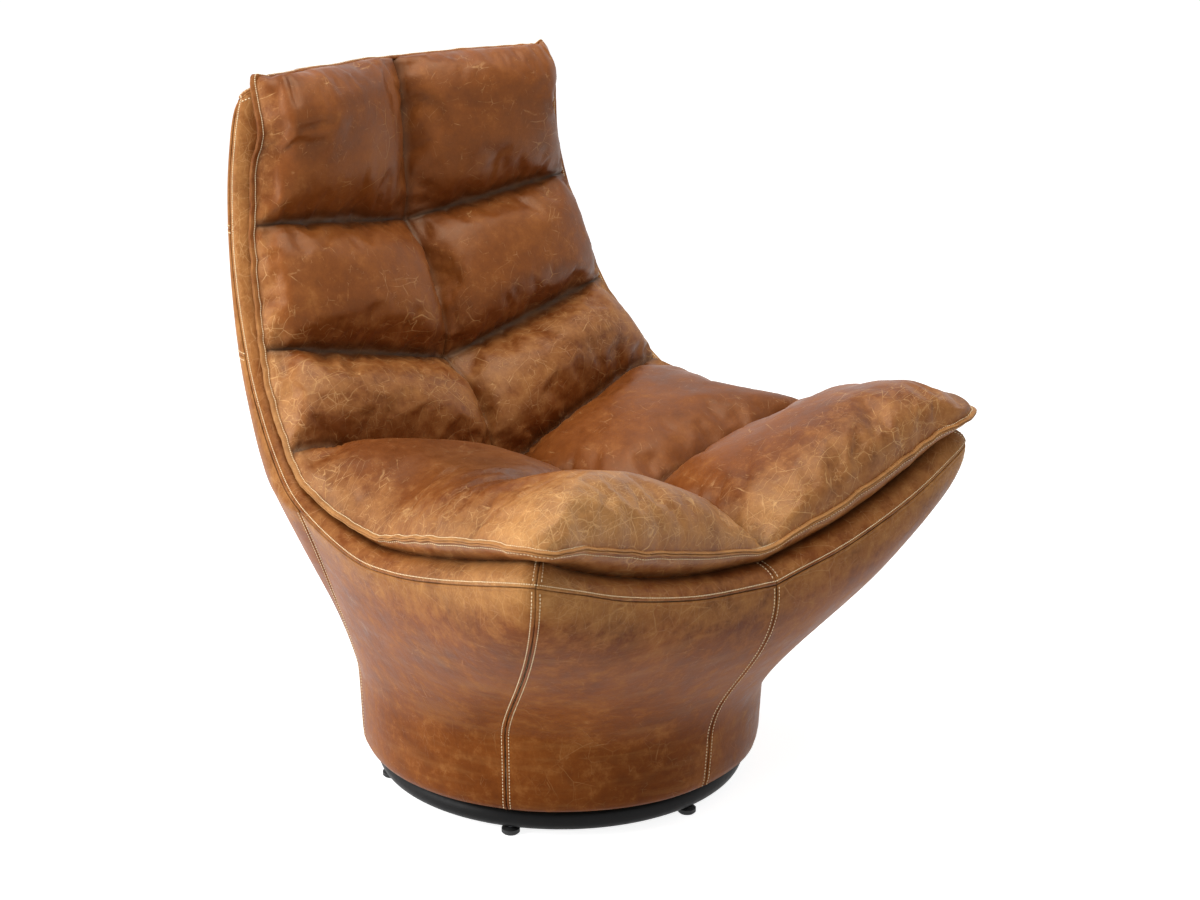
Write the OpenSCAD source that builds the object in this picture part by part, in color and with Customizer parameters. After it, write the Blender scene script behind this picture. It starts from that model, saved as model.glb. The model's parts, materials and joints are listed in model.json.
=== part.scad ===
// Leather swivel armchair: a flared one-piece shell with a rolled rim, a quilted pad in it,
// a round drum foot, and a tubular ring base with a ball race between them.
// The sitter faces -Y, +Z is up, and the origin is on the swivel axis at floor level. Millimetres.

/* [Shell outline] */
// Width of the shell across its front corners
shell_w = 820; // [740:2:860]
// Swivel axis to the rim seam at the front centre
front_y = 381; // [350:1:410]
// Swivel axis to the fullest point of the outer back
back_y = 390; // [370:1:410]
// Height of the rim seam at the front centre
front_z = 357; // [335:1:375]
// Height of the rim seam at the front corners
corner_z = 453; // [430:1:480]
// Height of the rim seam where the sides are lowest
side_z = 398; // [380:1:415]
// Height of the rim seam across the top of the back
top_z = 912; // [860:1:950]
// Width of the shell across the top corners of the back
top_w = 540; // [480:2:580]
// Distance from the swivel axis back to the top corners
top_y = 317; // [300:1:330]

/* [Shell wall] */
// Width of the rolled rim band, seam to inner edge
band_w = 38; // [30:1:44]
// Height of the rolled rim band above its seam
band_h = 22; // [18:1:28]
// Thickness of the leather cover with its backing
leather_t = 3; // [2:0.5:4]
// Height of the seat pan's lowest point
pan_z = 285; // [270:1:300]

/* [Drum] */
// Diameter of the drum below the flare
drum_d = 552; // [520:2:570]
// Height of the drum's hem above the floor
hem_z = 44; // [43:0.5:46]
// Height where the drum turns into the flare
kink_z = 112; // [95:1:130]
// Outer diameter of the plywood drum inside the shell
hoop_d = 448; // [420:2:460]
// Wall of the plywood drum
hoop_t = 12; // [9:1:18]
// Thickness of the drum board that the swivel carries
board_t = 18; // [15:1:21]
// Height of the plywood drum's wall
hoop_h = 140; // [120:1:150]
// Thickness of the deck under the shell
deck_t = 12; // [9:1:15]
// Side of the square wooden posts in the drum
post_w = 38; // [30:1:44]

/* [Quilted pad] */
// Height of the seat's quilted lumps above their seams
seat_puff = 72; // [40:1:80]
// Height of the back's quilted lumps above their seams
back_puff = 56; // [30:1:65]
// Height of the back's upper edge above the rim seam
pad_rise = 26; // [22:1:34]

/* [Ring base] */
// Diameter of the ring's centre line
ring_d = 476; // [460:2:490]
// Outer diameter of the ring's steel tube
tube_d = 30; // [25:1:30]
// Wall of the ring's tube
tube_wall = 2.5; // [2:0.5:4]
// Number of glides under the ring
glides = 6; // [5:1:8]
// Diameter of a glide
glide_d = 24; // [18:1:28]
// Height of a glide below the ring
glide_h = 10; // [8:1:14]
// Diameter of a glide's threaded stud
stud_d = 8; // [6:1:8]
// Width of the spider's arms
arm_w = 42; // [34:2:50]
// Thickness of the spider plate
spider_t = 6; // [5:0.5:8]
// Diameter of the spider's hub
hub_d = 190; // [180:2:210]

/* [Ball race] */
// Diameter of the circle that the balls run on
race_d = 160; // [150:2:170]
// Width of each pressed race
race_w = 16; // [14:1:18]
// Diameter of a ball
ball_d = 8; // [7:0.5:8.5]
// Number of balls
balls = 18; // [12:1:24]
// Thickness of the swivel plates
plate_t = 3; // [2.5:0.5:4]
// Side of the square upper swivel plate
upper_plate_w = 200; // [190:2:210]
// Diameter of the centre bolt
pin_d = 12; // [10:1:14]
// Diameter of the plate bolts
bolt_d = 8; // [6:1:8]

/* [Hidden] */
$fn = 48;

// Clearances
glue_gap = 0.4;      // leather to the moulded shell
pad_gap = 0.6;       // pad to the shell under it
run_gap = 0.3;       // moving surfaces of the race
fit_gap = 0.1;       // bolts and studs in their holes
wood_gap = 1;        // plywood drum in the moulded shell
weld_gap = 0.1;      // spider arms to the ring
seam_share = 0.02;   // half the gap between the two cushions, as a share of a grid row

// Heights of the base and the swivel, from the floor up
ring_z = glide_h + tube_d / 2;
spider_z = ring_z - spider_t / 2;
spider_top = spider_z + spider_t;
lower_top = spider_top + plate_t;
race_gap = 2;
race_rise = 6;
race_top = lower_top + race_rise;
ball_z = race_top + race_gap / 2;
upper_z = race_top + race_gap + race_rise;
board_z = upper_z + plate_t;
hoop_z = board_z + board_t;
deck_z = hoop_z + hoop_h;
deck_top = deck_z + deck_t;

// Grid of the shell: stations round the rim and rows up the wall
n_front = 8;          // front centre to a front corner
n_side = 12;          // front corner to the side seam
n_back = 18;          // side seam to a top corner
n_low = 11;           // rows from the hem to the rim in front of the side seam
n_drum = 3;           // of these, rows on the drum itself
n_band = 4;           // rows over the rolled band
n_across = 2 * n_front;
n_long = n_side + n_back;
n_ring = 2 * (n_front + n_side) + n_across;
n_rows = n_low + n_back;
n_rim = 2 * (n_across + n_long);

// Rows where the pad is quilted, and the rows of the back panel's seams
seat_seam = 8;
pad_bend = 15;
back_seam_low = 20;
back_seam_high = 25;

half_w = shell_w / 2;
drum_r = drum_d / 2;
corner_turn = 59;     // where the front corner seams meet the drum, degrees from the front
side_turn = 122;      // where the side seams meet the drum
hem_roll = 15;        // how far the hem turns in
side_seam_y = 86;     // where the side seams meet the rim

function mix(a, b, t) = a + (b - a) * t;
function unit(v) = v / norm(v);
function ease(t) = let (c = max(0, min(1, t))) c * c * (3 - 2 * c);
function flip(p) = [-p[0], p[1], p[2]];
function segment(list, key, i = 0) =
    i >= len(list) - 2 || key < list[i + 1][0] ? i : segment(list, key, i + 1);
function steepness(list, i) =
    let (a = max(0, i - 1), b = min(len(list) - 1, i + 1))
    (list[b] - list[a]) / (list[b][0] - list[a][0]);

// A smooth curve through rows that start with their key
function along(list, key) =
    let (i = segment(list, key), step = list[i + 1][0] - list[i][0], t = (key - list[i][0]) / step,
         m0 = steepness(list, i) * step, m1 = steepness(list, i + 1) * step)
    list[i] * (1 + 2 * t) * pow(1 - t, 2) + m0 * t * pow(1 - t, 2)
    + list[i + 1] * t * t * (3 - 2 * t) + m1 * t * t * (t - 1);

// Right half of the rim seam, from the front centre to the top corner of the back. Each row is
// station, x, y, z, heading of the inward direction, share of the band's height,
// and the pad's edge from the seam: inward and up
side_x = half_w - 37;
side_seam_z = side_z + 29;
function rim_rise(t) = mix(front_z, corner_z, t);
function back_run(k, tx, ty, tz, aim, share, in, up) =
    [k, mix(side_x, top_w / 2, tx), mix(side_seam_y, top_y, ty),
     mix(side_seam_z, top_z - 3, tz), aim, share, in, up];
rim = [
    [0, 0, -front_y, front_z, 90, 1, 12, 43],
    [2, 0.34 * half_w, -front_y - 2, rim_rise(0.19), 90, 1, 8, 53],
    [4, 0.64 * half_w, -front_y - 2, rim_rise(0.51), 91, 1, 4, 56],
    [6, 0.845 * half_w, -front_y + 1, rim_rise(0.82), 100, 1, 0, 52],
    [8, half_w - 12, -front_y + 12, corner_z, 136, 1, -12, 46],
    [10, half_w, -front_y + 56, corner_z - 6, 172, 1, 2, 46],
    [12.6, half_w - 8, -0.565 * front_y, mix(side_z, corner_z, 0.38), 179, 1, 8, 50],
    [15, half_w - 16, -0.3 * front_y, side_z + 2, 180, 0.95, 13, 42],
    [17.4, half_w - 22, -30, side_z + 1, 181, 0.8, 19, 28],
    [20, side_x, side_seam_y, side_seam_z, 183, 0.55, 14, 19],
    back_run(22.6, 0.16, 0.286, 0.071, 184, 0.55, 11, 18),
    back_run(26, 0.358, 0.589, 0.225, 184, 0.65, 11, 18),
    back_run(29, 0.519, 0.788, 0.389, 184, 0.85, 12, 21),
    back_run(32, 0.66, 0.935, 0.584, 184, 0.95, 14, 24),
    back_run(34.4, 0.783, 1.004, 0.763, 184, 1, 15, 25),
    back_run(36.2, 0.86, 1.009, 0.9, 184, 0.9, 14, 27),
    back_run(37.1, 0.925, 1.008, 0.965, 188, 0.85, 12, 27),
    back_run(38, 1, 1, 1, 213, 0.8, 10, pad_rise + 2)
];

// Outer back at the centre: share of the height, share of the way from the drum to the fullest point
spine = [[0, 0], [0.1, 0.02], [0.16, 0.12], [0.22, 0.27], [0.29, 0.44], [0.38, 0.64],
         [0.51, 0.84], [0.63, 0.94], [0.74, 0.99], [0.84, 1], [0.93, 0.97], [1, 0.9]];
function spine_y(z) =
    mix(drum_r, back_y, along(spine, max(0, min(1, (z - kink_z) / (top_z - kink_z))))[1]);

function drum_point(turn, radius, z) = [radius * sin(turn), -radius * cos(turn), z];
function bezier(a, b, c, d, t) =
    a * pow(1 - t, 3) + 3 * b * t * pow(1 - t, 2) + 3 * c * t * t * (1 - t) + d * pow(t, 3);

hem_turn = 4;         // step of the hem's rounded foot
kink_corner = 40;     // how much higher the flare starts at the front corners
kink_rear = 44;       // and at the back

// One upright curve of the wall: rolled hem, drum, then an S-shaped flare up to the rim
function wall_curve(row, turn, rim_xyz, corner, rear) =
    row == 0 ? drum_point(turn, drum_r - hem_roll, hem_z) :
    row == 1 ? drum_point(turn, drum_r - hem_roll / 2, hem_z + hem_turn) :
    row == 2 ? drum_point(turn, drum_r - hem_turn, hem_z + 4 * hem_turn) :
    let (kink = kink_z + kink_corner * corner + kink_rear * rear, root = drum_point(turn, drum_r, kink),
         rise = rim_xyz[2] - kink,
         t = (row - n_drum) / (n_low - n_drum),
         out_low = 0.05 * corner + 0.26 * rear, up_low = mix(mix(0.33, 0.17, corner), 0.33, rear),
         out_high = mix(mix(1.14, 1.036, corner), 0.78, rear),
         up_high = mix(mix(0.61, 0.64, corner), 0.8, rear),
         p = bezier([0, 0], [out_low, up_low], [out_high, up_high], [1, 1], t))
    [mix(root[0], rim_xyz[0], p[0]), mix(root[1], rim_xyz[1], p[0]), kink + rise * p[1]];

function rim_xyz(k) = let (r = along(rim, k)) [r[1], r[2], r[3]];
function turn_at(k) =
    k <= n_front ? corner_turn * k / n_front
                 : mix(corner_turn, side_turn, (k - n_front) / n_side);
function corner_share(k) = exp(-pow((k - n_front) / 4, 2)) * ease(k / 3);
function rear_share(k) = ease((k - n_front - 1) / (n_side - 1));
function wall_point(row, k) = wall_curve(row, turn_at(k), rim_xyz(k), corner_share(k), rear_share(k));

// Edge of the back panel at a row, and the rounded section from it to the centre of the back
function back_edge(row) =
    row <= n_low ? wall_point(row, n_front + n_side) : rim_xyz(n_front + n_side + row - n_low);
function back_section(row, t) =
    let (e = back_edge(row), up = ease((e[2] - kink_z) / (side_seam_z - kink_z)),
         centre_z = e[2] + 3 * pow(max(0, row - n_low) / n_back, 3),
         centre_y = row < n_drum ? norm([e[0], e[1]]) : spine_y(centre_z),
         bow = mix(side_turn - 90, -5, up), reach = centre_y - e[1],
         pull = mix(0.733, 0.4, up) * reach,
         p = bezier([e[0], e[1]], [e[0] - pull * sin(bow), e[1] + pull * cos(bow)],
                    [mix(0.407, 0.5523, up) * e[0], centre_y], [0, centre_y], t))
    [p[0], p[1], mix(e[2], centre_z, 1 - pow(1 - t, 2))];

// The outer skin: full rings up to the rim of the sides, then the back alone
function skin_point(row, c) =
    c > n_ring / 2 ? flip(skin_point(row, n_ring - c)) :
    c <= n_front + n_side && row <= n_low ? wall_point(row, c) :
    back_section(row, (c - n_front - n_side) / n_front);
back_first = n_front + n_side;
back_last = back_first + n_across;
skin = [for (row = [0 : n_rows])
        [for (c = [0 : n_ring - 1])
         row <= n_low || (c >= back_first && c <= back_last) ? skin_point(row, c) : undef]];

// Position on the skin of each station round the rim
function rim_place(k) =
    k <= back_first ? [n_low, k] :
    k <= back_first + n_back ? [k - back_first + n_low, back_first] :
    k <= back_first + n_back + n_across ? [n_rows, k - n_back] :
    k <= n_rim - back_first ? [n_low + n_rim - back_first - k, back_last] :
    [n_low, k - n_rim + n_ring];
rim_seam = [for (k = [0 : n_rim - 1]) let (p = rim_place(k)) skin[p[0]][p[1]]];

// Directions at each station: inward over the wall, and outward from its edge
function rim_run(k) = rim_seam[(k + 1) % n_rim] - rim_seam[(k + n_rim - 1) % n_rim];
function half_station(k) = k > n_rim / 2 ? n_rim - k : k;
function inward(k) =
    let (h = half_station(k), run = rim_run(h),
         aim = h <= back_first + n_back ? along(rim, h)[4] : atan2(run[1], run[0]) + 90,
         d = [cos(aim), sin(aim), 0])
    k > n_rim / 2 ? flip(d) : d;
function outward(k) = unit(cross(rim_run(k), inward(k)));
top_right = back_first + n_back;
top_left = top_right + n_across;
corner_lean = 0.2;    // how far the top corners lean to the front
rim_in = [for (k = [0 : n_rim - 1]) inward(k)];
rim_out = [for (k = [0 : n_rim - 1])
           k == top_right ? corner_lean * outward(k - 1) + outward(k + 1) :
           k == top_left ? outward(k - 1) + corner_lean * outward(k + 1) : outward(k)];

function top_share(h) = (h - back_first - n_back) / n_front;
function band_share(k) =
    let (h = half_station(k))
    h <= back_first + n_back ? along(rim, h)[5] : mix(0.8, 0.7, ease(2 * top_share(h)));
function pad_edge(k) =
    let (h = half_station(k), r = along(rim, min(h, back_first + n_back)),
         t = top_share(h))
    h <= back_first + n_back ? [r[6], r[7]] :
    [mix(10, band_w + 1, pow(min(1, 2 * t), 0.2)), mix(pad_rise + 2, pad_rise, min(1, 2 * t))];

// The rolled band: a quarter ellipse from the seam over the edge of the wall
function band_normal(k, phi) =
    unit(-cos(phi) / band_w * rim_in[k] + sin(phi) / (band_h * band_share(k)) * rim_out[k]);
function band_point(k, phi, depth = 0) =
    rim_seam[k] + band_w * (1 - cos(phi)) * rim_in[k]
    + band_h * band_share(k) * sin(phi) * rim_out[k] - depth * band_normal(k, phi);

// Outward direction of the skin at each point
function wrap(c) = (c + n_ring) % n_ring;
function skin_normal(row, c) =
    row == n_low && (c <= back_first || c >= back_last) ? -rim_in[c <= back_first ? c : c - n_ring + n_rim] :
    row > n_low && c == back_first ? -rim_in[row - n_low + back_first] :
    row > n_low && c == back_last ? -rim_in[n_rim - back_first - row + n_low] :
    row == n_rows ? -rim_in[c + n_back] :
    let (up = skin[row + 1][c] - skin[max(0, row - 1)][c],
         side = skin[row][wrap(c + 1)] - skin[row][wrap(c - 1)])
    unit(cross(side, up));
normals = [for (row = [0 : n_rows])
           [for (c = [0 : n_ring - 1]) skin[row][c] == undef ? undef : skin_normal(row, c)]];
function sunk(row, c, depth) = skin[row][c] - depth * normals[row][c];

// Two triangles of a grid cell, seen clockwise from outside. The columns of the chair's left half
// are split the other way, so that both halves match
function quad(a, b, c, d) = [[a, b, c], [a, c, d]];
function cells(rows, left_from = 0, left_to = 0) =
    [for (i = [0 : len(rows) - 2]) for (j = [0 : len(rows[0]) - 2])
     let (a = rows[i][j], b = rows[i + 1][j], c = rows[i + 1][j + 1], d = rows[i][j + 1])
     each (j >= left_from && j < left_to ? quad(b, c, d, a) : quad(a, b, c, d))];
function turned(faces) = [for (f = faces) [f[2], f[1], f[0]]];
function flat(rows) = [for (r = rows) each r];

// A sheet with a thickness, from its outer and inner grids of points. Its edge is split by rank, so
// that two sheets meet face to face along a seam
module slab(outer, inner, left_from) {
    rows = len(outer);
    cols = len(outer[0]);
    function at(i, j) = i * cols + j;
    front = [for (i = [0 : rows - 1]) [for (j = [0 : cols - 1]) at(i, j)]];
    deep = rows * cols;
    back = [for (r = front) [for (v = r) v + deep]];
    rim_loop = concat([for (j = [0 : cols - 1]) at(0, j)], [for (i = [1 : rows - 1]) at(i, cols - 1)],
                      [for (j = [cols - 2 : -1 : 0]) at(rows - 1, j)],
                      [for (i = [rows - 2 : -1 : 1]) at(i, 0)]);
    n = len(rim_loop);
    points = concat(flat(outer), flat(inner));
    function rank(v) = points[v][2] + 0.1 * abs(points[v][0]);
    function edge_quad(a, b) =
        rank(a) < rank(b) ? quad(a, b, b + deep, a + deep) : quad(b, b + deep, a + deep, a);
    edge = [for (k = [0 : n - 1]) each edge_quad(rim_loop[k], rim_loop[(k + 1) % n])];
    polyhedron(points, concat(cells(front, left_from, cols), turned(cells(back, left_from, cols)), edge));
}

// A leather panel of the outer skin
module panel(row_a, row_b, col_a, col_b) {
    grid = [for (row = [row_a : row_b]) [for (c = [col_a : col_b]) [row, wrap(c)]]];
    slab([for (r = grid) [for (p = r) skin[p[0]][p[1]]]],
         [for (r = grid) [for (p = r) sunk(p[0], p[1], leather_t)]], max(0, n_ring / 2 - col_a));
}

// A leather piece of the rolled band
module rim_strip(from, to) {
    slab([for (b = [0 : n_band]) [for (k = [from : to]) band_point(k % n_rim, 90 * b / n_band)]],
         [for (b = [0 : n_band]) [for (k = [from : to]) band_point(k % n_rim, 90 * b / n_band, leather_t)]],
         max(0, n_rim / 2 - from));
}

leather = [0.52, 0.31, 0.17];
leather_light = [0.6, 0.37, 0.2];
steel = [0.7, 0.7, 0.72];
black = [0.06, 0.06, 0.065];
plywood = [0.78, 0.62, 0.42];

module front_panel_left() color(leather) panel(0, n_low, n_ring - n_front, n_ring);
module front_panel_right() color(leather) panel(0, n_low, 0, n_front);
module side_panel_left() color(leather) panel(0, n_low, back_last, back_last + n_side);
module side_panel_right() color(leather) panel(0, n_low, n_front, back_first);
module back_panel_lower() color(leather) panel(0, n_low + back_seam_low - n_side, back_first, back_last);
module back_panel_middle()
    color(leather) panel(n_low + back_seam_low - n_side, n_low + back_seam_high - n_side, back_first, back_last);
module back_panel_upper() color(leather) panel(n_low + back_seam_high - n_side, n_rows, back_first, back_last);

corner_right = n_front;
corner_left = n_rim - n_front;
module rim_front_right() color(leather_light) rim_strip(0, corner_right);
module rim_side_right() color(leather_light) rim_strip(corner_right, top_right);
module rim_top() color(leather_light) rim_strip(top_right, top_left);
module rim_side_left() color(leather_light) rim_strip(top_left, corner_left);
module rim_front_left() color(leather_light) rim_strip(corner_left, n_rim);

// The bowl under the pad: its centre line by grid row, then rounded sections out to the band
pan = [[1, -318, pan_z + 66], [2, -290, pan_z + 35], [4, -215, pan_z + 10], [6, -130, pan_z + 2],
       [8, -50, pan_z], [10, 25, pan_z + 1], [12, 90, pan_z + 5], [14, 148, pan_z + 17],
       [15, 175, pan_z + 32], [16, 199, pan_z + 61], [17, 222, pan_z + 98], [18, 243, pan_z + 140],
       [20, 280, pan_z + 226], [22, 311, pan_z + 306], [25, 343, 705], [27, 350, 785],
       [28, 346, 825], [29, 336, 868]];
across = [0, 0.1, 0.25, 0.42, 0.6, 0.76, 0.88, 0.96, 1];
function side_share(j) = across[abs(j - n_front)];

// Station of the rim at the border of the pad's grid
function border(i, j) =
    j == n_across ? n_front + i :
    j == 0 ? n_rim - n_front - i :
    i == 0 ? (j - n_front + n_rim) % n_rim :
    n_front + n_long + n_across - j;
function on_border(i, j) = i == 0 || j == 0 || i == n_long || j == n_across;

// A surface hung between a border loop and a centre line, with its section's fullness
function hung(i, j, loop, centre, fullness) =
    on_border(i, j) ? loop[border(i, j)] :
    let (front = loop[border(0, j)] - hung_row(0, j, loop, loop[border(0, n_front)], 1.6),
         top = loop[border(n_long, j)] - hung_row(n_long, j, loop, loop[border(n_long, n_front)], 2))
    hung_row(i, j, loop, centre(i), fullness)
    + front * pow(max(0, 1 - i / 6), 1.5) + top * pow(max(0, 1 - (n_long - i) / 6), 1.5);
function hung_row(i, j, loop, middle, fullness) =
    let (edge = loop[border(i, j > n_front ? n_across : 0)], w = side_share(j), f = pow(w, fullness))
    [edge[0] * w, mix(middle[1], edge[1], f), mix(middle[2], edge[2], f)];

skin_depth = leather_t + glue_gap;
bowl_edge = [for (k = [0 : n_rim - 1]) band_point(k, 90, skin_depth)];
function pan_centre(i) =
    let (first = bowl_edge[0], last = bowl_edge[border(n_long, n_front)],
         line = concat([[0, first[1], first[2]]], pan, [[n_long, last[1], last[2]]]), p = along(line, i))
    [0, p[1], p[2]];

// The row under the top edge stays in front of it, so that the pad goes in without an undercut
function bowl_point(i, j) =
    let (p = hung(i, j, bowl_edge, function (r) pan_centre(r), 3))
    i == n_long - 1 && !on_border(i, j)
        ? [p[0], min(p[1], bowl_edge[border(n_long, j)][1] - 2 * pad_gap), p[2]] : p;
bowl = [for (i = [0 : n_long]) [for (j = [0 : n_across]) bowl_point(i, j)]];
function bowl_normal(i, j) =
    unit(cross(bowl[i][min(n_across, j + 1)] - bowl[i][max(0, j - 1)],
               bowl[min(n_long, i + 1)][j] - bowl[max(0, i - 1)][j]));

// The moulded shell: wall, band, bowl and the cavity for the plywood drum, as one closed surface
module shell_core() {
    low = flat([for (row = [0 : n_low]) [for (c = [0 : n_ring - 1]) sunk(row, c, skin_depth)]]);
    high = flat([for (row = [n_low + 1 : n_rows]) [for (c = [back_first : back_last]) sunk(row, c, skin_depth)]]);
    rolled = flat([for (b = [1 : n_band]) [for (k = [0 : n_rim - 1]) band_point(k, 90 * b / n_band, skin_depth)]]);
    inside = flat([for (i = [1 : n_long - 1]) [for (j = [1 : n_across - 1]) bowl[i][j]]]);
    hole_r = hoop_d / 2 + wood_gap;
    function turn_of(c) = c <= back_first ? turn_at(c) : atan2(skin[0][c][0], -skin[0][c][1]);
    hole = [for (z = [hem_z + leather_t, deck_top + wood_gap / 2])
            each [for (c = [0 : n_ring - 1]) drum_point(turn_of(c), hole_r, z)]];
    high_at = len(low);
    rolled_at = high_at + len(high);
    inside_at = rolled_at + len(rolled);
    hole_at = inside_at + len(inside);

    function wall(row, c) =
        row <= n_low ? row * n_ring + wrap(c)
                     : high_at + (row - n_low - 1) * (n_across + 1) + c - back_first;
    function band(b, k) =
        let (p = rim_place(k % n_rim)) b == 0 ? wall(p[0], p[1]) : rolled_at + (b - 1) * n_rim + k % n_rim;
    function pad_bed(i, j) =
        on_border(i, j) ? band(n_band, border(i, j)) : inside_at + (i - 1) * (n_across - 1) + j - 1;

    faces = concat(
        cells([for (row = [0 : n_low]) [for (c = [0 : n_ring]) wall(row, c)]], n_ring / 2, n_ring),
        cells([for (row = [n_low : n_rows]) [for (c = [back_first : back_last]) wall(row, c)]],
              n_front, n_across),
        cells([for (b = [0 : n_band]) [for (k = [0 : n_rim]) band(b, k)]], n_rim / 2, n_rim),
        cells([for (i = [0 : n_long]) [for (j = [0 : n_across]) pad_bed(i, j)]], 0, n_front),
        cells([[for (c = [0 : n_ring]) hole_at + wrap(c)], [for (c = [0 : n_ring]) wall(0, c)]]),
        cells([[for (c = [0 : n_ring]) hole_at + n_ring + wrap(c)], [for (c = [0 : n_ring]) hole_at + wrap(c)]]),
        [[for (c = [0 : n_ring - 1]) hole_at + n_ring + c]]
    );
    color([0.85, 0.8, 0.66]) polyhedron(concat(low, high, rolled, inside, hole), faces);
}

// Centre seam of the quilted pad, by grid row
groove = [[4, -245, 380], [8, -115, 372], [12, 30, 370], [15, 126, 374], [16, 138, 398], [17, 150, 427],
          [18, 170, 461], [19, 198, 497], [20, 236, 528], [21, 240, 560], [22, 252, 600], [23, 268, 638],
          [24, 290, 677], [25, 316, 713], [26, 317, 750], [27, 319, 800], [28, 321, 850], [29, 324, 900]];
pad_loop = [for (k = [0 : n_rim - 1])
            let (e = pad_edge(k)) rim_seam[k] + e[0] * rim_in[k] + e[1] * rim_out[k]];
function groove_centre(i) =
    let (first = pad_loop[0], last = pad_loop[border(n_long, n_front)],
         line = concat([[0, first[1], first[2]]], groove, [[n_long, last[1], last[2]]]), p = along(line, i))
    [0, p[1], p[2]];

// How full a lump is between two seams, and the height of the quilting over its seams
seam_rise = 0.2;
function puff(t) = pow(max(0, 1 - pow(abs(2 * t - 1), 3)), 0.5);
seams = [0, seat_seam, pad_bend, back_seam_low, back_seam_high, n_long];
function lump_share(i, s = 0) =
    i <= seams[s + 1] ? (i - seams[s]) / (seams[s + 1] - seams[s]) : lump_share(i, s + 1);
function lift(i) =
    let (lean = mix(0, 68, ease((i - 11) / 9)), high = mix(seat_puff, back_puff, ease((i - 11) / 6)))
    high * [0, -sin(lean), cos(lean)];
pad_top = [for (i = [0 : n_long]) [for (j = [0 : n_across])
           hung(i, j, pad_loop, function (r) groove_centre(r), 1)
           + (on_border(i, j) ? 0 : mix(seam_rise, 1, puff(lump_share(i))) * puff(side_share(j))) * lift(i)]];
pad_under = [for (i = [0 : n_long]) [for (j = [0 : n_across])
             on_border(i, j) ? band_point(border(i, j), 90, -pad_gap) + pad_gap * rim_in[border(i, j)]
                             : bowl[i][j] + pad_gap * bowl_normal(i, j)]];
pad_tuck = [for (k = [0 : n_rim - 1]) band_point(k, 90 * (n_band - 1) / n_band, -2 * pad_gap)];

function between(rows, i) = let (a = floor(i)) a == i ? rows[a] : mix(rows[a], rows[a + 1], i - a);
function tuck_at(i, j) =
    let (a = floor(i), p = pad_tuck[border(a, j)]) a == i ? p : mix(p, pad_tuck[border(a + 1, j)], i - a);

// One cushion of the pad, from its first to its last row. An end at the bend is closed by a flat cut
module cushion(rows) {
    n = len(rows);
    bend_first = rows[0] > 0;
    top = [for (i = rows) between(pad_top, i)];
    under = [for (i = rows) between(pad_under, i)];
    top_at = 0;
    under_at = n * (n_across + 1);
    tuck_side = concat([for (r = [0 : n - 1]) tuck_at(rows[r], 0)], [for (r = [0 : n - 1]) tuck_at(rows[r], n_across)]);
    tuck_end = [for (j = [1 : n_across - 1]) pad_tuck[border(bend_first ? n_long : 0, j)]];
    tuck_first = 2 * under_at;
    function at(base, r, j) = base + r * (n_across + 1) + j;
    function tuck(r, j) =
        j == 0 ? tuck_first + r : j == n_across ? tuck_first + n + r : tuck_first + 2 * n + j - 1;
    closed_row = bend_first ? n - 1 : 0;
    cut_row = bend_first ? 0 : n - 1;
    upper = [for (r = [0 : n - 1]) [for (j = [0 : n_across]) at(top_at, r, j)]];
    lower = [for (r = [0 : n - 1]) [for (j = [0 : n_across]) at(under_at, r, j)]];
    left = [for (r = [0 : n - 1]) [at(top_at, r, 0), tuck(r, 0), at(under_at, r, 0)]];
    right = [for (r = [0 : n - 1]) [at(under_at, r, n_across), tuck(r, n_across), at(top_at, r, n_across)]];
    end = [[for (j = [0 : n_across]) at(top_at, closed_row, j)],
           [for (j = [0 : n_across]) tuck(closed_row, j)],
           [for (j = [0 : n_across]) at(under_at, closed_row, j)]];
    function cut_quad(j) =
        let (a = at(under_at, cut_row, j), b = at(top_at, cut_row, j))
        j < n_front ? quad(a, b, b + 1, a + 1) : quad(b, b + 1, a + 1, a);
    cut = [for (j = [2 : n_across - 3]) each cut_quad(j),
           each turned(cut_corner(0, 1)), each cut_corner(n_across, -1)];
    function cut_corner(j, step) =
        let (a = at(top_at, cut_row, j), b = at(under_at, cut_row, j))
        concat(fan(a + step, [a, tuck(cut_row, j), b]),
               fan(a + 2 * step, [a + step, b, b + step, b + 2 * step]));
    faces = concat(cells(upper, 0, n_front), turned(cells(lower, 0, n_front)),
                   turned(cells(left)), turned(cells(right, 0, 2)),
                   bend_first ? cells(end, n_front, n_across) : turned(cells(end, 0, n_front)),
                   bend_first ? cut : turned(cut));
    polyhedron(concat(flat(top), flat(under), tuck_side, tuck_end), faces);
}
function fan(hub, rim_points) =
    [for (i = [0 : len(rim_points) - 2]) [hub, rim_points[i], rim_points[i + 1]]];
module seat_cushion()
    color(leather_light) cushion([each [0 : pad_bend - 1], pad_bend - seam_share]);
module back_cushion()
    color(leather) cushion([pad_bend + seam_share, each [pad_bend + 1 : n_long]]);

// Plywood drum that carries the shell
module drum_board() color(plywood) difference() {
    translate([0, 0, board_z]) cylinder(h = board_t, d = hoop_d, $fn = 96);
    translate([0, 0, board_z - 1]) cylinder(h = board_t + 2, d = nut_hole_d);
    plate_corners() translate([0, 0, board_z - 1]) cylinder(h = board_t + 2, d = bolt_d + 2 * fit_gap);
}
module drum_hoop() color(plywood) translate([0, 0, hoop_z]) difference() {
    cylinder(h = hoop_h, d = hoop_d, $fn = 96);
    translate([0, 0, -1]) cylinder(h = hoop_h + 2, d = hoop_d - 2 * hoop_t, $fn = 96);
}
post_r = hoop_d / 2 - hoop_t - post_w / 2 - 2;
module at_posts() for (a = [0 : 90 : 270]) rotate(a) translate([post_r, 0, 0]) children();
screw_d = 5;
screw_head_d = 9;
screw_head_h = 3;
screw_len = 45;
screw_gap = 18;
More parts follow.
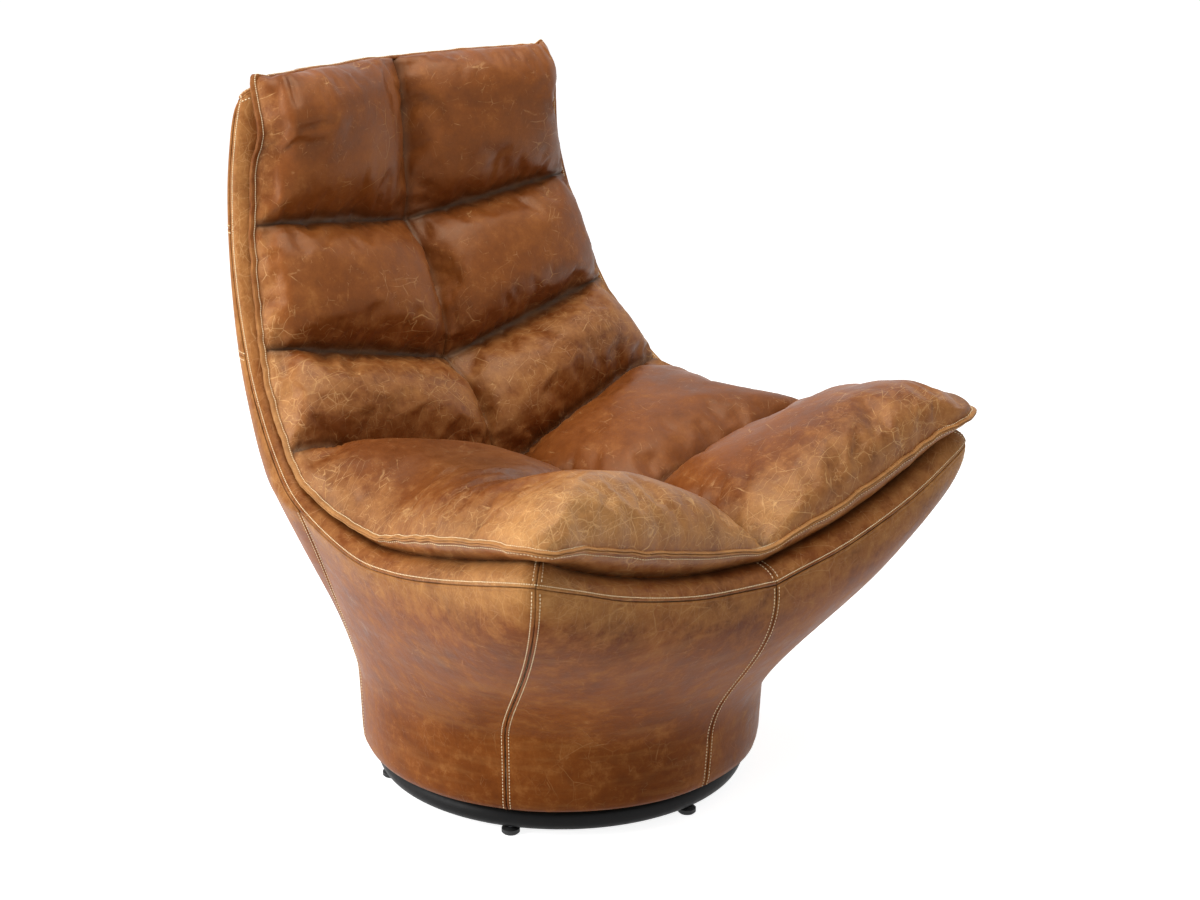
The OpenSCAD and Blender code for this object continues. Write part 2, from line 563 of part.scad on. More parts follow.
module at_screws() at_posts() for (s = [-0.5, 0.5]) translate([0, s * screw_gap, 0]) children();
module drum_posts() color(plywood) difference() {
    at_posts() translate([-post_w / 2, -post_w / 2, hoop_z]) cube([post_w, post_w, hoop_h]);
    at_screws() translate([0, 0, deck_top - screw_len - fit_gap])
        cylinder(h = screw_len, d = screw_d + 2 * fit_gap);
}
module seat_deck() color(plywood) difference() {
    translate([0, 0, deck_z]) cylinder(h = deck_t, d = hoop_d, $fn = 96);
    at_screws() translate([0, 0, deck_z - 1]) cylinder(h = deck_t + 2, d = screw_d + 2 * fit_gap);
    at_screws() translate([0, 0, deck_top - screw_head_h - fit_gap])
        cylinder(h = screw_head_h + 1, d = screw_head_d + 2 * fit_gap);
}
module deck_screws() color(steel) at_screws() {
    translate([0, 0, deck_top - screw_len]) cylinder(h = screw_len - screw_head_h, d = screw_d);
    translate([0, 0, deck_top - screw_head_h]) cylinder(h = screw_head_h, d = screw_head_d);
}
cover_t = 1;
module dust_cover() color(black) translate([0, 0, board_z - cover_t - run_gap]) difference() {
    cylinder(h = cover_t, d = hoop_d, $fn = 96);
    translate([0, 0, -1]) cylinder(h = cover_t + 2, d = upper_plate_w * sqrt(2) + 6, $fn = 96);
}

// Swivel: two pressed plates with a ball race, held together by the centre bolt
washer_d = 30;
washer_t = 2.5;
nut_af = 19;
nut_h = 10;
nut_hole_d = 52;
head_h = 7;
plate_inset = 16;
module plate_corners() {
    c = upper_plate_w / 2 - plate_inset;
    for (x = [-c, c]) for (y = [-c, c]) translate([x, y, 0]) children();
}
lower_bolt_r = 50;
module at_lower_bolts() for (a = [45 : 90 : 315]) rotate(a) translate([lower_bolt_r, 0, 0]) children();
module race_section(z, height) polygon([
    [race_d / 2 - race_w / 2, z], [race_d / 2 + race_w / 2, z],
    [race_d / 2 + race_w / 2, z + height], [race_d / 2 - race_w / 2, z + height]]);
module race_groove() rotate_extrude($fn = 96) translate([race_d / 2, ball_z]) circle(d = ball_d + 2 * run_gap);
module swivel_lower_plate() color(steel) difference() {
    union() {
        translate([0, 0, spider_top]) cylinder(h = plate_t, d = hub_d, $fn = 96);
        rotate_extrude($fn = 96) race_section(spider_top, plate_t + race_rise);
    }
    race_groove();
    translate([0, 0, spider_top - 1]) cylinder(h = plate_t + 2, d = pin_d + 2 * fit_gap);
    at_lower_bolts() translate([0, 0, spider_top - 1]) cylinder(h = plate_t + 2, d = bolt_d + 2 * fit_gap);
}
module swivel_upper_plate() color(steel) difference() {
    union() {
        translate([-upper_plate_w / 2, -upper_plate_w / 2, upper_z]) cube([upper_plate_w, upper_plate_w, plate_t]);
        rotate_extrude($fn = 96) race_section(upper_z - race_rise, race_rise + plate_t / 2);
    }
    race_groove();
    translate([0, 0, upper_z - 1]) cylinder(h = plate_t + 2, d = pin_d + 2 * run_gap);
    plate_corners() translate([0, 0, upper_z - 1]) cylinder(h = plate_t + 2, d = bolt_d + 2 * fit_gap);
}
cage_t = 1.2;
cage_w = 14;
module at_balls() for (i = [0 : balls - 1]) rotate(360 * i / balls) translate([race_d / 2, 0, 0]) children();
module ball_cage() color([0.8, 0.7, 0.4]) difference() {
    translate([0, 0, ball_z - cage_t / 2]) difference() {
        cylinder(h = cage_t, d = race_d + cage_w, $fn = 96);
        translate([0, 0, -1]) cylinder(h = cage_t + 2, d = race_d - cage_w, $fn = 96);
    }
    at_balls() translate([0, 0, ball_z - cage_t]) cylinder(h = 2 * cage_t, d = ball_d + 2 * fit_gap);
}
module race_balls() color(steel) at_balls() translate([0, 0, ball_z]) sphere(d = ball_d);
module plate_screws() color(steel) plate_corners() {
    translate([0, 0, upper_z - 4]) cylinder(h = 4, d = bolt_d + 6, $fn = 6);
    translate([0, 0, upper_z]) cylinder(h = plate_t + board_t, d = bolt_d);
}
module base_bolts() color(steel) at_lower_bolts() {
    translate([0, 0, lower_top]) cylinder(h = 5, d = bolt_d + 6, $fn = 6);
    translate([0, 0, spider_z - 8]) cylinder(h = lower_top - spider_z + 8, d = bolt_d);
}
module base_nuts() color(steel) at_lower_bolts() translate([0, 0, spider_z - 6.5]) difference() {
    cylinder(h = 6.5, d = bolt_d + 7, $fn = 6);
    translate([0, 0, -1]) cylinder(h = 9, d = bolt_d + 2 * fit_gap);
}
washer_z = board_z + run_gap;
module centre_bolt() color(steel) {
    translate([0, 0, spider_z - head_h]) cylinder(h = head_h, d = nut_af / cos(30), $fn = 6);
    translate([0, 0, spider_z]) cylinder(h = washer_z + washer_t + nut_h + 3 - spider_z, d = pin_d);
}
module centre_nut() color(steel) translate([0, 0, washer_z]) difference() {
    union() {
        cylinder(h = washer_t, d = washer_d);
        translate([0, 0, washer_t]) cylinder(h = nut_h, d = nut_af / cos(30), $fn = 6);
    }
    translate([0, 0, -1]) cylinder(h = washer_t + nut_h + 2, d = pin_d + 2 * fit_gap);
}

// Ring base
ring_r = ring_d / 2;
module at_glides() for (i = [0 : glides - 1]) rotate(360 * i / glides - 90) translate([ring_r, 0, 0]) children();
stud_top = glide_h + 10;
module base_ring() color(black) difference() {
    translate([0, 0, ring_z]) rotate_extrude($fn = 96) translate([ring_r, 0]) difference() {
        circle(d = tube_d);
        circle(d = tube_d - 2 * tube_wall);
    }
    at_glides() translate([0, 0, glide_h - 2]) cylinder(h = tube_wall + 5, d = stud_d + 2 * fit_gap);
}
module base_spider() color(black) difference() {
    intersection() {
        union() {
            translate([0, 0, spider_z]) cylinder(h = spider_t, d = hub_d, $fn = 96);
            for (a = [45, 135]) rotate(a)
                translate([-ring_r, -arm_w / 2, spider_z]) cube([ring_d, arm_w, spider_t]);
        }
        translate([0, 0, spider_z - 1]) cylinder(h = spider_t + 2, r = arm_end_r, $fn = 96);
    }
    translate([0, 0, spider_z - 1]) cylinder(h = spider_t + 2, d = pin_d + 2 * fit_gap);
    at_lower_bolts() translate([0, 0, spider_z - 1]) cylinder(h = spider_t + 2, d = bolt_d + 2 * fit_gap);
}
arm_end_r = ring_r - tube_d / 2 - weld_gap;
pad_lip = 2;
module glide_pads() color(black) at_glides() difference() {
    rotate_extrude() polygon([[0, 0], [glide_d / 2 - pad_lip, 0], [glide_d / 2, pad_lip],
                              [glide_d / 2, glide_h - 3], [stud_d / 2 + 3, glide_h - 0.5], [0, glide_h - 0.5]]);
    translate([0, 0, 3]) cylinder(h = glide_h, d = stud_d + 2 * fit_gap);
}
module glide_studs() color(steel) at_glides() translate([0, 0, 3]) cylinder(h = stud_top - 3, d = stud_d);

base_ring();
base_spider();
glide_pads();
glide_studs();
swivel_lower_plate();
base_bolts();
base_nuts();
centre_bolt();
centre_nut();
ball_cage();
race_balls();
swivel_upper_plate();
plate_screws();
dust_cover();
drum_board();
drum_hoop();
drum_posts();
seat_deck();
deck_screws();
shell_core();
front_panel_left();
front_panel_right();
side_panel_left();
side_panel_right();
back_panel_lower();
back_panel_middle();
back_panel_upper();
rim_front_left();
rim_front_right();
rim_side_left();
rim_side_right();
rim_top();
seat_cushion();
back_cushion();
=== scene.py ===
import bpy, bmesh
import json
from math import asin, atan2, cos, degrees, exp, hypot, pi, radians, sin, sqrt
from mathutils import Matrix, Vector, noise
from mathutils.bvhtree import BVHTree
from mathutils.kdtree import KDTree


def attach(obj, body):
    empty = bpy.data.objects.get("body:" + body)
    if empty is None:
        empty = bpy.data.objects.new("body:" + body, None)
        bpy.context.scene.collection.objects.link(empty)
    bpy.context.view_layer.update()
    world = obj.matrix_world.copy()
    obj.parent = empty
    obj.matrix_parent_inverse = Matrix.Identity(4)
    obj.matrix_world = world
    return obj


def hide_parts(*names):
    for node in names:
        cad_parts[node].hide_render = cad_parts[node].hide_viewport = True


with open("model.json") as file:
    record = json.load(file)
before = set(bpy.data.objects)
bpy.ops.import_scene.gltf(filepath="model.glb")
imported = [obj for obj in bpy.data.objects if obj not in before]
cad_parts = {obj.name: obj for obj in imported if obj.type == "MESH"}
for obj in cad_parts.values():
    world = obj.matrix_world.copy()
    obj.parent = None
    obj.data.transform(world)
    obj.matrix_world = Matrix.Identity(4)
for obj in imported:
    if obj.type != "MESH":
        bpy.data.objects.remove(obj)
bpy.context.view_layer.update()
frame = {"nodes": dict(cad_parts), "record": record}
mm = 0.001

# Leather swivel armchair. Shapes are worked out in millimetres and placed in metres.


# Plain helpers

def mix(a, b, t):
    return a + (b - a) * t


def ease(t):
    t = min(1, max(0, t))
    return t * t * (3 - 2 * t)


def bump(t, centre, width):
    return exp(-((t - centre) / width) ** 2)


def along(rows, key):  # a smooth curve through rows that start with their key
    i = 0
    while i < len(rows) - 2 and key >= rows[i + 1][0]:
        i += 1

    def steepness(n):
        a, b = rows[max(0, n - 1)], rows[min(len(rows) - 1, n + 1)]
        return [(q - p) / (b[0] - a[0]) for p, q in zip(a, b)]

    step = rows[i + 1][0] - rows[i][0]
    t = (key - rows[i][0]) / step
    s = 1 - t
    ends = zip(rows[i], rows[i + 1], steepness(i), steepness(i + 1))
    return [a * (1 + 2 * t) * s * s + ma * step * t * s * s
            + b * t * t * (3 - 2 * t) - mb * step * t * t * s for a, b, ma, mb in ends]


def bezier(points, t):
    s = 1 - t
    weights = (s ** 3, 3 * t * s * s, 3 * t * t * s, t ** 3)
    return [sum(w * p[axis] for w, p in zip(weights, points)) for axis in range(len(points[0]))]


# The shell's form, from the same sizes as the frame

shell = {
    "halfWidth": 410, "frontY": 381, "backY": 390,
    "frontZ": 357, "cornerZ": 453, "sideZ": 398, "topZ": 912,
    "topWidth": 540, "topY": 317,
    "drumRadius": 276, "hemZ": 44, "hemRoll": 15,
    "kinkZ": 112, "kinkCorner": 40, "kinkRear": 44,
    "bandWidth": 38, "bandHeight": 22,
    "cornerTurn": 59, "sideTurn": 122, "sideSeamY": 86,
}
frontStations, sideStations, backStations = 8, 12, 18
drumRow, rimRow = 3, 11
sideStation = frontStations + sideStations
topStation = sideStation + backStations
topRow = rimRow + backStations
halfLoop = topStation + frontStations
fullLoop = 2 * halfLoop
sideX = shell["halfWidth"] - 37
sideSeamZ = shell["sideZ"] + 29


# a station at shares of the way from the side seam to the upper corner
def backRun(station, tx, ty, tz, aim, share, inset, rise):
    return [station, mix(sideX, shell["topWidth"] / 2, tx), mix(shell["sideSeamY"], shell["topY"], ty),
            mix(sideSeamZ, shell["topZ"] - 3, tz), aim, share, inset, rise]


def rimRise(t):
    return mix(shell["frontZ"], shell["cornerZ"], t)


# station, x, y, z, heading inward, share of the band's height, pad edge inward and up
rimRows = [
    [0, 0, -shell["frontY"], shell["frontZ"], 90, 1, 12, 43],
    [2, 0.34 * shell["halfWidth"], -shell["frontY"] - 2, rimRise(0.19), 90, 1, 8, 53],
    [4, 0.64 * shell["halfWidth"], -shell["frontY"] - 2, rimRise(0.51), 91, 1, 4, 56],
    [6, 0.845 * shell["halfWidth"], -shell["frontY"] + 1, rimRise(0.82), 100, 1, 0, 52],
    [8, shell["halfWidth"] - 12, -shell["frontY"] + 12, shell["cornerZ"], 136, 1, -12, 46],
    [10, shell["halfWidth"], -shell["frontY"] + 56, shell["cornerZ"] - 6, 172, 1, 2, 46],
    [12.6, shell["halfWidth"] - 8, -0.565 * shell["frontY"], mix(shell["sideZ"], shell["cornerZ"], 0.38),
     179, 1, 8, 50],
    [15, shell["halfWidth"] - 16, -0.3 * shell["frontY"], shell["sideZ"] + 2, 180, 0.95, 13, 42],
    [17.4, shell["halfWidth"] - 22, -30, shell["sideZ"] + 1, 181, 0.8, 19, 28],
    [20, sideX, shell["sideSeamY"], sideSeamZ, 183, 0.55, 14, 19],
    backRun(22.6, 0.16, 0.286, 0.071, 184, 0.55, 11, 18),
    backRun(26, 0.358, 0.589, 0.225, 184, 0.65, 11, 18),
    backRun(29, 0.519, 0.788, 0.389, 184, 0.85, 12, 21),
    backRun(32, 0.66, 0.935, 0.584, 184, 0.95, 14, 24),
    backRun(34.4, 0.783, 1.004, 0.763, 184, 1, 15, 25),
    backRun(36.2, 0.86, 1.009, 0.9, 184, 0.9, 14, 27),
    backRun(37.1, 0.925, 1.008, 0.965, 188, 0.85, 12, 27),
    backRun(38, 1, 1, 1, 213, 0.8, 10, 28),
]
# the middle of the back: share of the height, share of the way out
spine = [[0, 0], [0.1, 0.02], [0.16, 0.12], [0.22, 0.27], [0.29, 0.44], [0.38, 0.64],
         [0.51, 0.84], [0.63, 0.94], [0.74, 0.99], [0.84, 1], [0.93, 0.97], [1, 0.9]]
# the rolled hem: inward from the drum's wall, and up
hemCurve = [(shell["hemRoll"], 0), (shell["hemRoll"] / 2, 4), (4, 16)]
# handles of the wall's curve as shares of the way out or up: in front, at the corner and at the side
wallHandles = {"lowUp": (0.33, 0.17, 0.33), "highOut": (1.14, 1.036, 0.78), "highUp": (0.61, 0.64, 0.8)}
lowOut = {"corner": 0.05, "side": 0.26}
# the back's curve from the side seam to the middle, at the kink and at the rim
backCurve = {"pull": (0.733, 0.4), "reach": (0.407, 0.5523), "topBow": -5, "crown": 3}


def spineY(z):
    height = (z - shell["kinkZ"]) / (shell["topZ"] - shell["kinkZ"])
    return mix(shell["drumRadius"], shell["backY"], along(spine, min(1, max(0, height)))[1])


def drumPoint(turn, radius, z):
    return [radius * sin(radians(turn)), -radius * cos(radians(turn)), z]


def rimXyz(k):
    return along(rimRows, k)[1:4]


def turnAt(k):
    if k <= frontStations:
        return shell["cornerTurn"] * k / frontStations
    return mix(shell["cornerTurn"], shell["sideTurn"], (k - frontStations) / sideStations)


def wallPoint(row, k):  # rolled hem, drum, then the S-shaped flare up to the rim
    turn, rim = turnAt(k), rimXyz(k)
    corner = exp(-((k - frontStations) / 4) ** 2) * ease(k / 3)
    rear = ease((k - frontStations - 1) / (sideStations - 1))
    kink = shell["kinkZ"] + shell["kinkCorner"] * corner + shell["kinkRear"] * rear
    root = drumPoint(turn, shell["drumRadius"], kink)
    if row < drumRow:
        hem = [drumPoint(turn, shell["drumRadius"] - inset, shell["hemZ"] + rise)
               for inset, rise in hemCurve] + [root]
        low = int(row)
        return [mix(a, b, row - low) for a, b in zip(hem[low], hem[low + 1])]

    def handle(name):
        front, atCorner, atSide = wallHandles[name]
        return mix(mix(front, atCorner, corner), atSide, rear)

    first = [lowOut["corner"] * corner + lowOut["side"] * rear, handle("lowUp")]
    second = [handle("highOut"), handle("highUp")]
    out, up = bezier([[0, 0], first, second, [1, 1]], (row - drumRow) / (rimRow - drumRow))
    return [mix(root[0], rim[0], out), mix(root[1], rim[1], out), kink + (rim[2] - kink) * up]


def backEdge(row):
    return wallPoint(row, sideStation) if row <= rimRow else rimXyz(sideStation + row - rimRow)


def backPoint(row, t):  # from the side seam to the middle of the back
    e = backEdge(row)
    up = ease((e[2] - shell["kinkZ"]) / (sideSeamZ - shell["kinkZ"]))
    centreZ = e[2] + backCurve["crown"] * (max(0, row - rimRow) / backStations) ** 3
    centreY = hypot(e[0], e[1]) if row < drumRow else spineY(centreZ)
    bow = radians(mix(shell["sideTurn"] - 90, backCurve["topBow"], up))
    pull = mix(*backCurve["pull"], up) * (centreY - e[1])
    x, y = bezier([[e[0], e[1]], [e[0] - pull * sin(bow), e[1] + pull * cos(bow)],
                   [mix(*backCurve["reach"], up) * e[0], centreY], [0, centreY]], t)
    return [x, y, mix(e[2], centreZ, 1 - (1 - t) ** 2)]


def skinPoint(row, column):  # columns run from the front centre, 0, to the back's middle on each side
    side = -1 if column < 0 else 1
    c = abs(column)
    onWall = c < sideStation and row <= rimRow
    p = wallPoint(row, c) if onWall else backPoint(row, (c - sideStation) / frontStations)
    return Vector((side * p[0], p[1], p[2]))


def mirrored(k):  # the same station on the right side
    return k if k <= halfLoop else fullLoop - k


def rimSeam(k):  # stations run from the front centre up the right side and down the left
    k = k % fullLoop
    side = 1 if k <= halfLoop else -1
    h = mirrored(k)
    p = rimXyz(h) if h <= topStation else backPoint(topRow, (h - topStation) / frontStations)
    return Vector((side * p[0], p[1], p[2]))


# the rim's own directions at each station: along it, inward over the wall, and out of its edge
def rimRun(k):
    return rimSeam(k + 1) - rimSeam(k - 1)


def inwardAt(k):
    h = mirrored(k)
    run = rimRun(h)
    aim = along(rimRows, h)[4] if h <= topStation else degrees(atan2(run.y, run.x)) + 90
    side = 1 if k <= halfLoop else -1
    return Vector((side * cos(radians(aim)), sin(radians(aim)), 0))


def outwardAt(k):
    return rimRun(k).cross(inwardAt(k)).normalized()


cornerLean = 0.2  # how much the shorter side counts where the band turns at its upper corners
rimIn = [inwardAt(k) for k in range(fullLoop)]
rimOut = [outwardAt(k) for k in range(fullLoop)]
rimOut[topStation] = cornerLean * outwardAt(topStation - 1) + outwardAt(topStation + 1)
leftTop = fullLoop - topStation
rimOut[leftTop] = outwardAt(leftTop - 1) + cornerLean * outwardAt(leftTop + 1)


def bandShareAt(k):  # share of the band's full height
    h = mirrored(k)
    if h <= topStation:
        return along(rimRows, h)[5]
    return mix(0.8, 0.7, ease(2 * (h - topStation) / frontStations))


def padEdgeAt(k):  # inward from the rim's seam, and out of it
    h = mirrored(k)
    if h <= topStation:
        return along(rimRows, h)[6:8]
    t = min(1, 2 * (h - topStation) / frontStations)
    return [mix(10, shell["bandWidth"] + 1, t ** 0.2), mix(28, 26, t)]


def padLoopAt(k):
    inset, rise = padEdgeAt(k)
    return rimSeam(k) + inset * rimIn[k] + rise * rimOut[k]


bandShares = [bandShareAt(k) for k in range(fullLoop)]
padLoop = [padLoopAt(k) for k in range(fullLoop)]


def loopAt(values, k):  # smooth between the stations of a closed loop
    k = k % fullLoop
    i = int(k)
    t = k - i
    a, b, c, d = (values[(i + n) % fullLoop] for n in (-1, 0, 1, 2))
    return b + 0.5 * t * ((c - a) + t * ((2 * a - 5 * b + 4 * c - d) + t * (3 * (b - c) + d - a)))


def bandPoint(k, phi, lift=0):
    inDirection, outDirection = loopAt(rimIn, k), loopAt(rimOut, k)
    width, height = shell["bandWidth"], shell["bandHeight"] * loopAt(bandShares, k)
    a = radians(phi)
    normal = (-cos(a) / width * inDirection + sin(a) / height * outDirection).normalized()
    return rimSeam(k) + width * (1 - cos(a)) * inDirection + height * sin(a) * outDirection + lift * normal


# Making pieces

def newPiece(name, bm, paint, replaces=()):
    mesh = bpy.data.meshes.new(name)
    for face in bm.faces:
        face.smooth = True
    bm.to_mesh(mesh)
    bm.free()
    piece = bpy.data.objects.new(name, mesh)
    bpy.context.scene.collection.objects.link(piece)
    mesh.materials.append(paint)
    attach(piece, "seat")
    if replaces:
        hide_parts(*replaces)
    return piece


def sheetGrid(pointAt, columns, rows, closed=False):  # a grid laid on a surface
    bm = bmesh.new()
    bm.loops.layers.uv.new("UVMap")
    bmesh.ops.create_grid(bm, x_segments=columns, y_segments=rows, size=0.5, calc_uvs=True)
    for v in bm.verts:
        v.co = pointAt(v.co.x + 0.5, v.co.y + 0.5) * mm
    if closed:
        bmesh.ops.remove_doubles(bm, verts=bm.verts[:], dist=0.01 * mm)
    bm.normal_update()
    return bm


def waves(point, size, seed):  # slow noise, size in millimetres
    return noise.noise(Vector(point) / (size * mm) + Vector((seed, 2 * seed, 3 * seed)))


def uneven(bm, height, size, seed):  # leather is never quite even over its padding
    for v in bm.verts:
        v.co += v.normal * mm * height * waves(v.co, size, seed)
    bm.normal_update()


def thickLeather(bm, thickness):
    bmesh.ops.solidify(bm, geom=bm.faces[:], thickness=thickness * mm)


# the turned edge of a sewn sheet: distance from the seam, and how high the leather stands there
seamProfile = [(0, -1.6), (0.3, -0.9), (0.8, -0.2), (1.7, 0.35), (2.7, 0.5), (3.7, 0.15), (4.6, -0.25),
               (5.6, -0.05), (7.5, 0.1), (10, 0)]
seamHeights = dict(seamProfile)
seamShadow = {"dark": 0.95, "width": 0.6}
probe = 0.2  # how far along the grid a sheet's scale is measured
unsewn = 1e6  # a scale at which a seam takes no room


def gridSteps(cells, sewnFirst, sewnLast):  # lines close together beside a seam, even ones between
    first = [("first", d) for d, _ in seamProfile] if sewnFirst else [("share", 0)]
    last = [("last", d) for d, _ in reversed(seamProfile)] if sewnLast else [("share", 1)]
    return first + [("share", n / cells) for n in range(1, cells)] + last


def stepAt(step, ends, perFirst, perLast):  # where a line lies, with the millimetres per unit at both ends
    kind, value = step
    if kind == "first":
        return ends[0] + value / perFirst
    if kind == "last":
        return ends[1] - value / perLast
    margin = seamProfile[-1][0]
    return mix(ends[0] + margin / perFirst, ends[1] - margin / perLast, value)


def sewnSheet(placeAt, columns, rows, cells, sewn):  # sewn: left, right, bottom and top edges
    across = gridSteps(cells[0], sewn[0], sewn[1])
    upward = gridSteps(cells[1], sewn[2], sewn[3])

    def perUnit(isSewn, edge, inside):
        return (placeAt(*edge) - placeAt(*inside)).length / probe if isSewn else unsewn

    def pointAt(u, v):
        i, j = round(v * (len(upward) - 1)), round(u * (len(across) - 1))
        middle = mix(columns[0], columns[1], u)
        row = stepAt(upward[i], rows,
                     perUnit(sewn[2], (middle, rows[0]), (middle, rows[0] + probe)),
                     perUnit(sewn[3], (middle, rows[1]), (middle, rows[1] - probe)))
        column = stepAt(across[j], columns,
                        perUnit(sewn[0], (columns[0], row), (columns[0] + probe, row)),
                        perUnit(sewn[1], (columns[1], row), (columns[1] - probe, row)))
        return placeAt(column, row)

    bm = sheetGrid(pointAt, len(across) - 1, len(upward) - 1)
    shade = bm.verts.layers.float.new("shade")
    steps = [(a, b) for b in upward for a in across]
    gaps = [min((value for kind, value in pair if kind != "share"), default=None) for pair in steps]
    for v, gap in zip(bm.verts, gaps):
        if gap is not None:
            v.co += v.normal * mm * seamHeights[gap]
            # painted shade in the groove beside the seam
            v[shade] = seamShadow["dark"] * exp(-(gap / seamShadow["width"]) ** 2)
    bm.normal_update()
    return bm


def setWear(bm, wearAt):  # how rubbed the leather is, read by its material
    wearAndBounce = bm.verts.layers.float.new("wearAndBounce")
    for v in bm.verts:
        v[wearAndBounce] = wearAt(v.co / mm)


# Stitches

thread = {"thick": 1.4, "flat": 0.8, "lift": 0.3, "sides": 6, "rings": 4, "batch": 40}


def sew(bm, path, pitch, length, tree):  # one row of stitches on a tree's skin, along points in metres
    spots, walked, due = [], 0.0, pitch * mm / 2
    for a, b in zip(path, path[1:]):
        step = (b - a).length
        while step > 0 and walked + step >= due:
            spots.append((a.lerp(b, (due - walked) / step), (b - a).normalized()))
            due += pitch * mm
        walked += step
    size = Matrix.Diagonal((length * mm, thread["thick"] * mm, thread["thick"] * thread["flat"] * mm, 1))
    spool = bpy.data.meshes.new("spool")
    for first in range(0, len(spots), thread["batch"]):
        few = bmesh.new()
        for place, run in spots[first:first + thread["batch"]]:
            place, up, _, _ = tree.find_nearest(place)
            side = up.cross(run).normalized()
            turn = Matrix((side.cross(up), side, up)).transposed().to_4x4()
            lay = Matrix.Translation(place + up * thread["lift"] * mm) @ turn @ size
            bmesh.ops.create_uvsphere(few, u_segments=thread["sides"], v_segments=thread["rings"],
                                      radius=0.5, matrix=lay)
        few.to_mesh(spool)
        few.free()
        bm.from_mesh(spool)
    bpy.data.meshes.remove(spool)


# Materials

def linear(red, green, blue):  # screen colour, 0 to 255, to the shader's scale
    def one(c):
        c = c / 255
        return c / 12.92 if c <= 0.04045 else ((c + 0.055) / 1.055) ** 2.4
    return (one(red), one(green), one(blue), 1)


class Paint:  # a material with short ways to add and wire its nodes
    def __init__(self, name):
        self.material = bpy.data.materials.new(name)
        self.material.use_nodes = True
        self.tree = self.material.node_tree
        self.shader = self.tree.nodes["Principled BSDF"]
        self.place = self.node("ShaderNodeTexCoord").outputs["Object"]

    def node(self, kind, inputs=None, **settings):
        made = self.tree.nodes.new(kind)
        for key, value in settings.items():
            setattr(made, key, value)
        for key, value in (inputs or {}).items():
            self.wire(value, made.inputs[key])
        return made

    def wire(self, value, socket):
        if isinstance(value, bpy.types.NodeSocket):
            self.tree.links.new(value, socket)
        else:
            socket.default_value = value

    def math(self, operation, a, b=0.0, clamp=False):
        made = self.node("ShaderNodeMath", operation=operation, use_clamp=clamp)
        self.wire(a, made.inputs[0])
        self.wire(b, made.inputs[1])
        return made.outputs[0]

    def noise(self, scale, detail=4, rough=0.55, place=None, twist=0.0):
        made = self.node("ShaderNodeTexNoise", {"Vector": place or self.place, "Scale": scale,
                                                "Detail": detail, "Roughness": rough, "Distortion": twist})
        return made.outputs["Fac"]

    def ramp(self, value, stops):  # stops are (position, colour or grey)
        made = self.node("ShaderNodeValToRGB", {"Fac": value})
        row = made.color_ramp.elements
        while len(row) < len(stops):
            row.new(0.5)
        for element, (position, colour) in zip(row, stops):
            element.position = position
            element.color = colour if isinstance(colour, tuple) else (colour, colour, colour, 1)
        return made.outputs["Color"]

    def blend(self, share, a, b):
        made = self.node("ShaderNodeMix", data_type="RGBA", blend_type="MIX")
        for value, socket in ((share, 0), (a, 6), (b, 7)):  # the colour sockets of a Mix node
            self.wire(value, made.inputs[socket])
        return made.outputs[2]

    def bump(self, height, distance, strength=1.0, over=None):
        made = self.node("ShaderNodeBump", {"Height": height, "Distance": distance * mm,
                                            "Strength": strength})
        if over:
            self.wire(over, made.inputs["Normal"])
        return made.outputs["Normal"]

    def finish(self, **sockets):
        for key, value in sockets.items():
            self.wire(value, self.shader.inputs[key.replace("_", " ")])
        return self.material


leather = {  # screen colours of the pull-up leather, with its painted shade and painted sheen colours, and its scales
    "deep": (94, 45, 13), "brown": (124, 66, 24), "warm": (149, 87, 37), "paintedShade": (40, 18, 7),
    "rubbed": (206, 152, 92), "vein": (230, 180, 120), "sheenStreak": (158, 108, 60), "roughness": 0.4,
    "gleam": (1.0, 0.74, 0.5, 1), "clouds": 6.5, "mottle": 42, "specks": 320, "pores": 520,
    # scratches: stretch of the cells per metre, turn, half width of a line, how much noise leaves out
    "scratches": (((12, 34, 18), (0.4, 0.2, 0.7), 0.012, 0.5),
                  ((52, 16, 28), (-0.5, 0.3, -0.4), 0.019, 0.5),
                  ((22, 84, 40), (0.9, -0.4, 0.3), 0.028, 0.5),
                  ((80, 120, 96), (0, 0.2, 0.1), 0.036, 0.53)),
    "scratchBend": 0.03,
}


def leatherTone(p, mottle, sheenStreaks):  # the dye's clouds, with level streaks of painted sheen over them
    clouds = p.noise(leather["clouds"], 5, 0.62, twist=0.5)
    tones = p.math("ADD", p.math("MULTIPLY", clouds, 0.6), p.math("MULTIPLY", mottle, 0.4))
    colour = p.ramp(tones, [(0.32, linear(*leather["deep"])), (0.5, linear(*leather["brown"])),
                            (0.68, linear(*leather["warm"]))])
    level = p.node("ShaderNodeMapping", {"Vector": p.place, "Rotation": (0.1, -0.08, 0),
                                         "Scale": (9, 9, 70)})
    streaks = p.noise(1.0, 5, 0.62, place=level.outputs["Vector"], twist=0.4)
    sheenStreak = p.ramp(streaks, [(0.48, 0.0), (0.72, 1.0)])
    return p.blend(p.math("MULTIPLY", sheenStreak, sheenStreaks), colour, linear(*leather["sheenStreak"]))


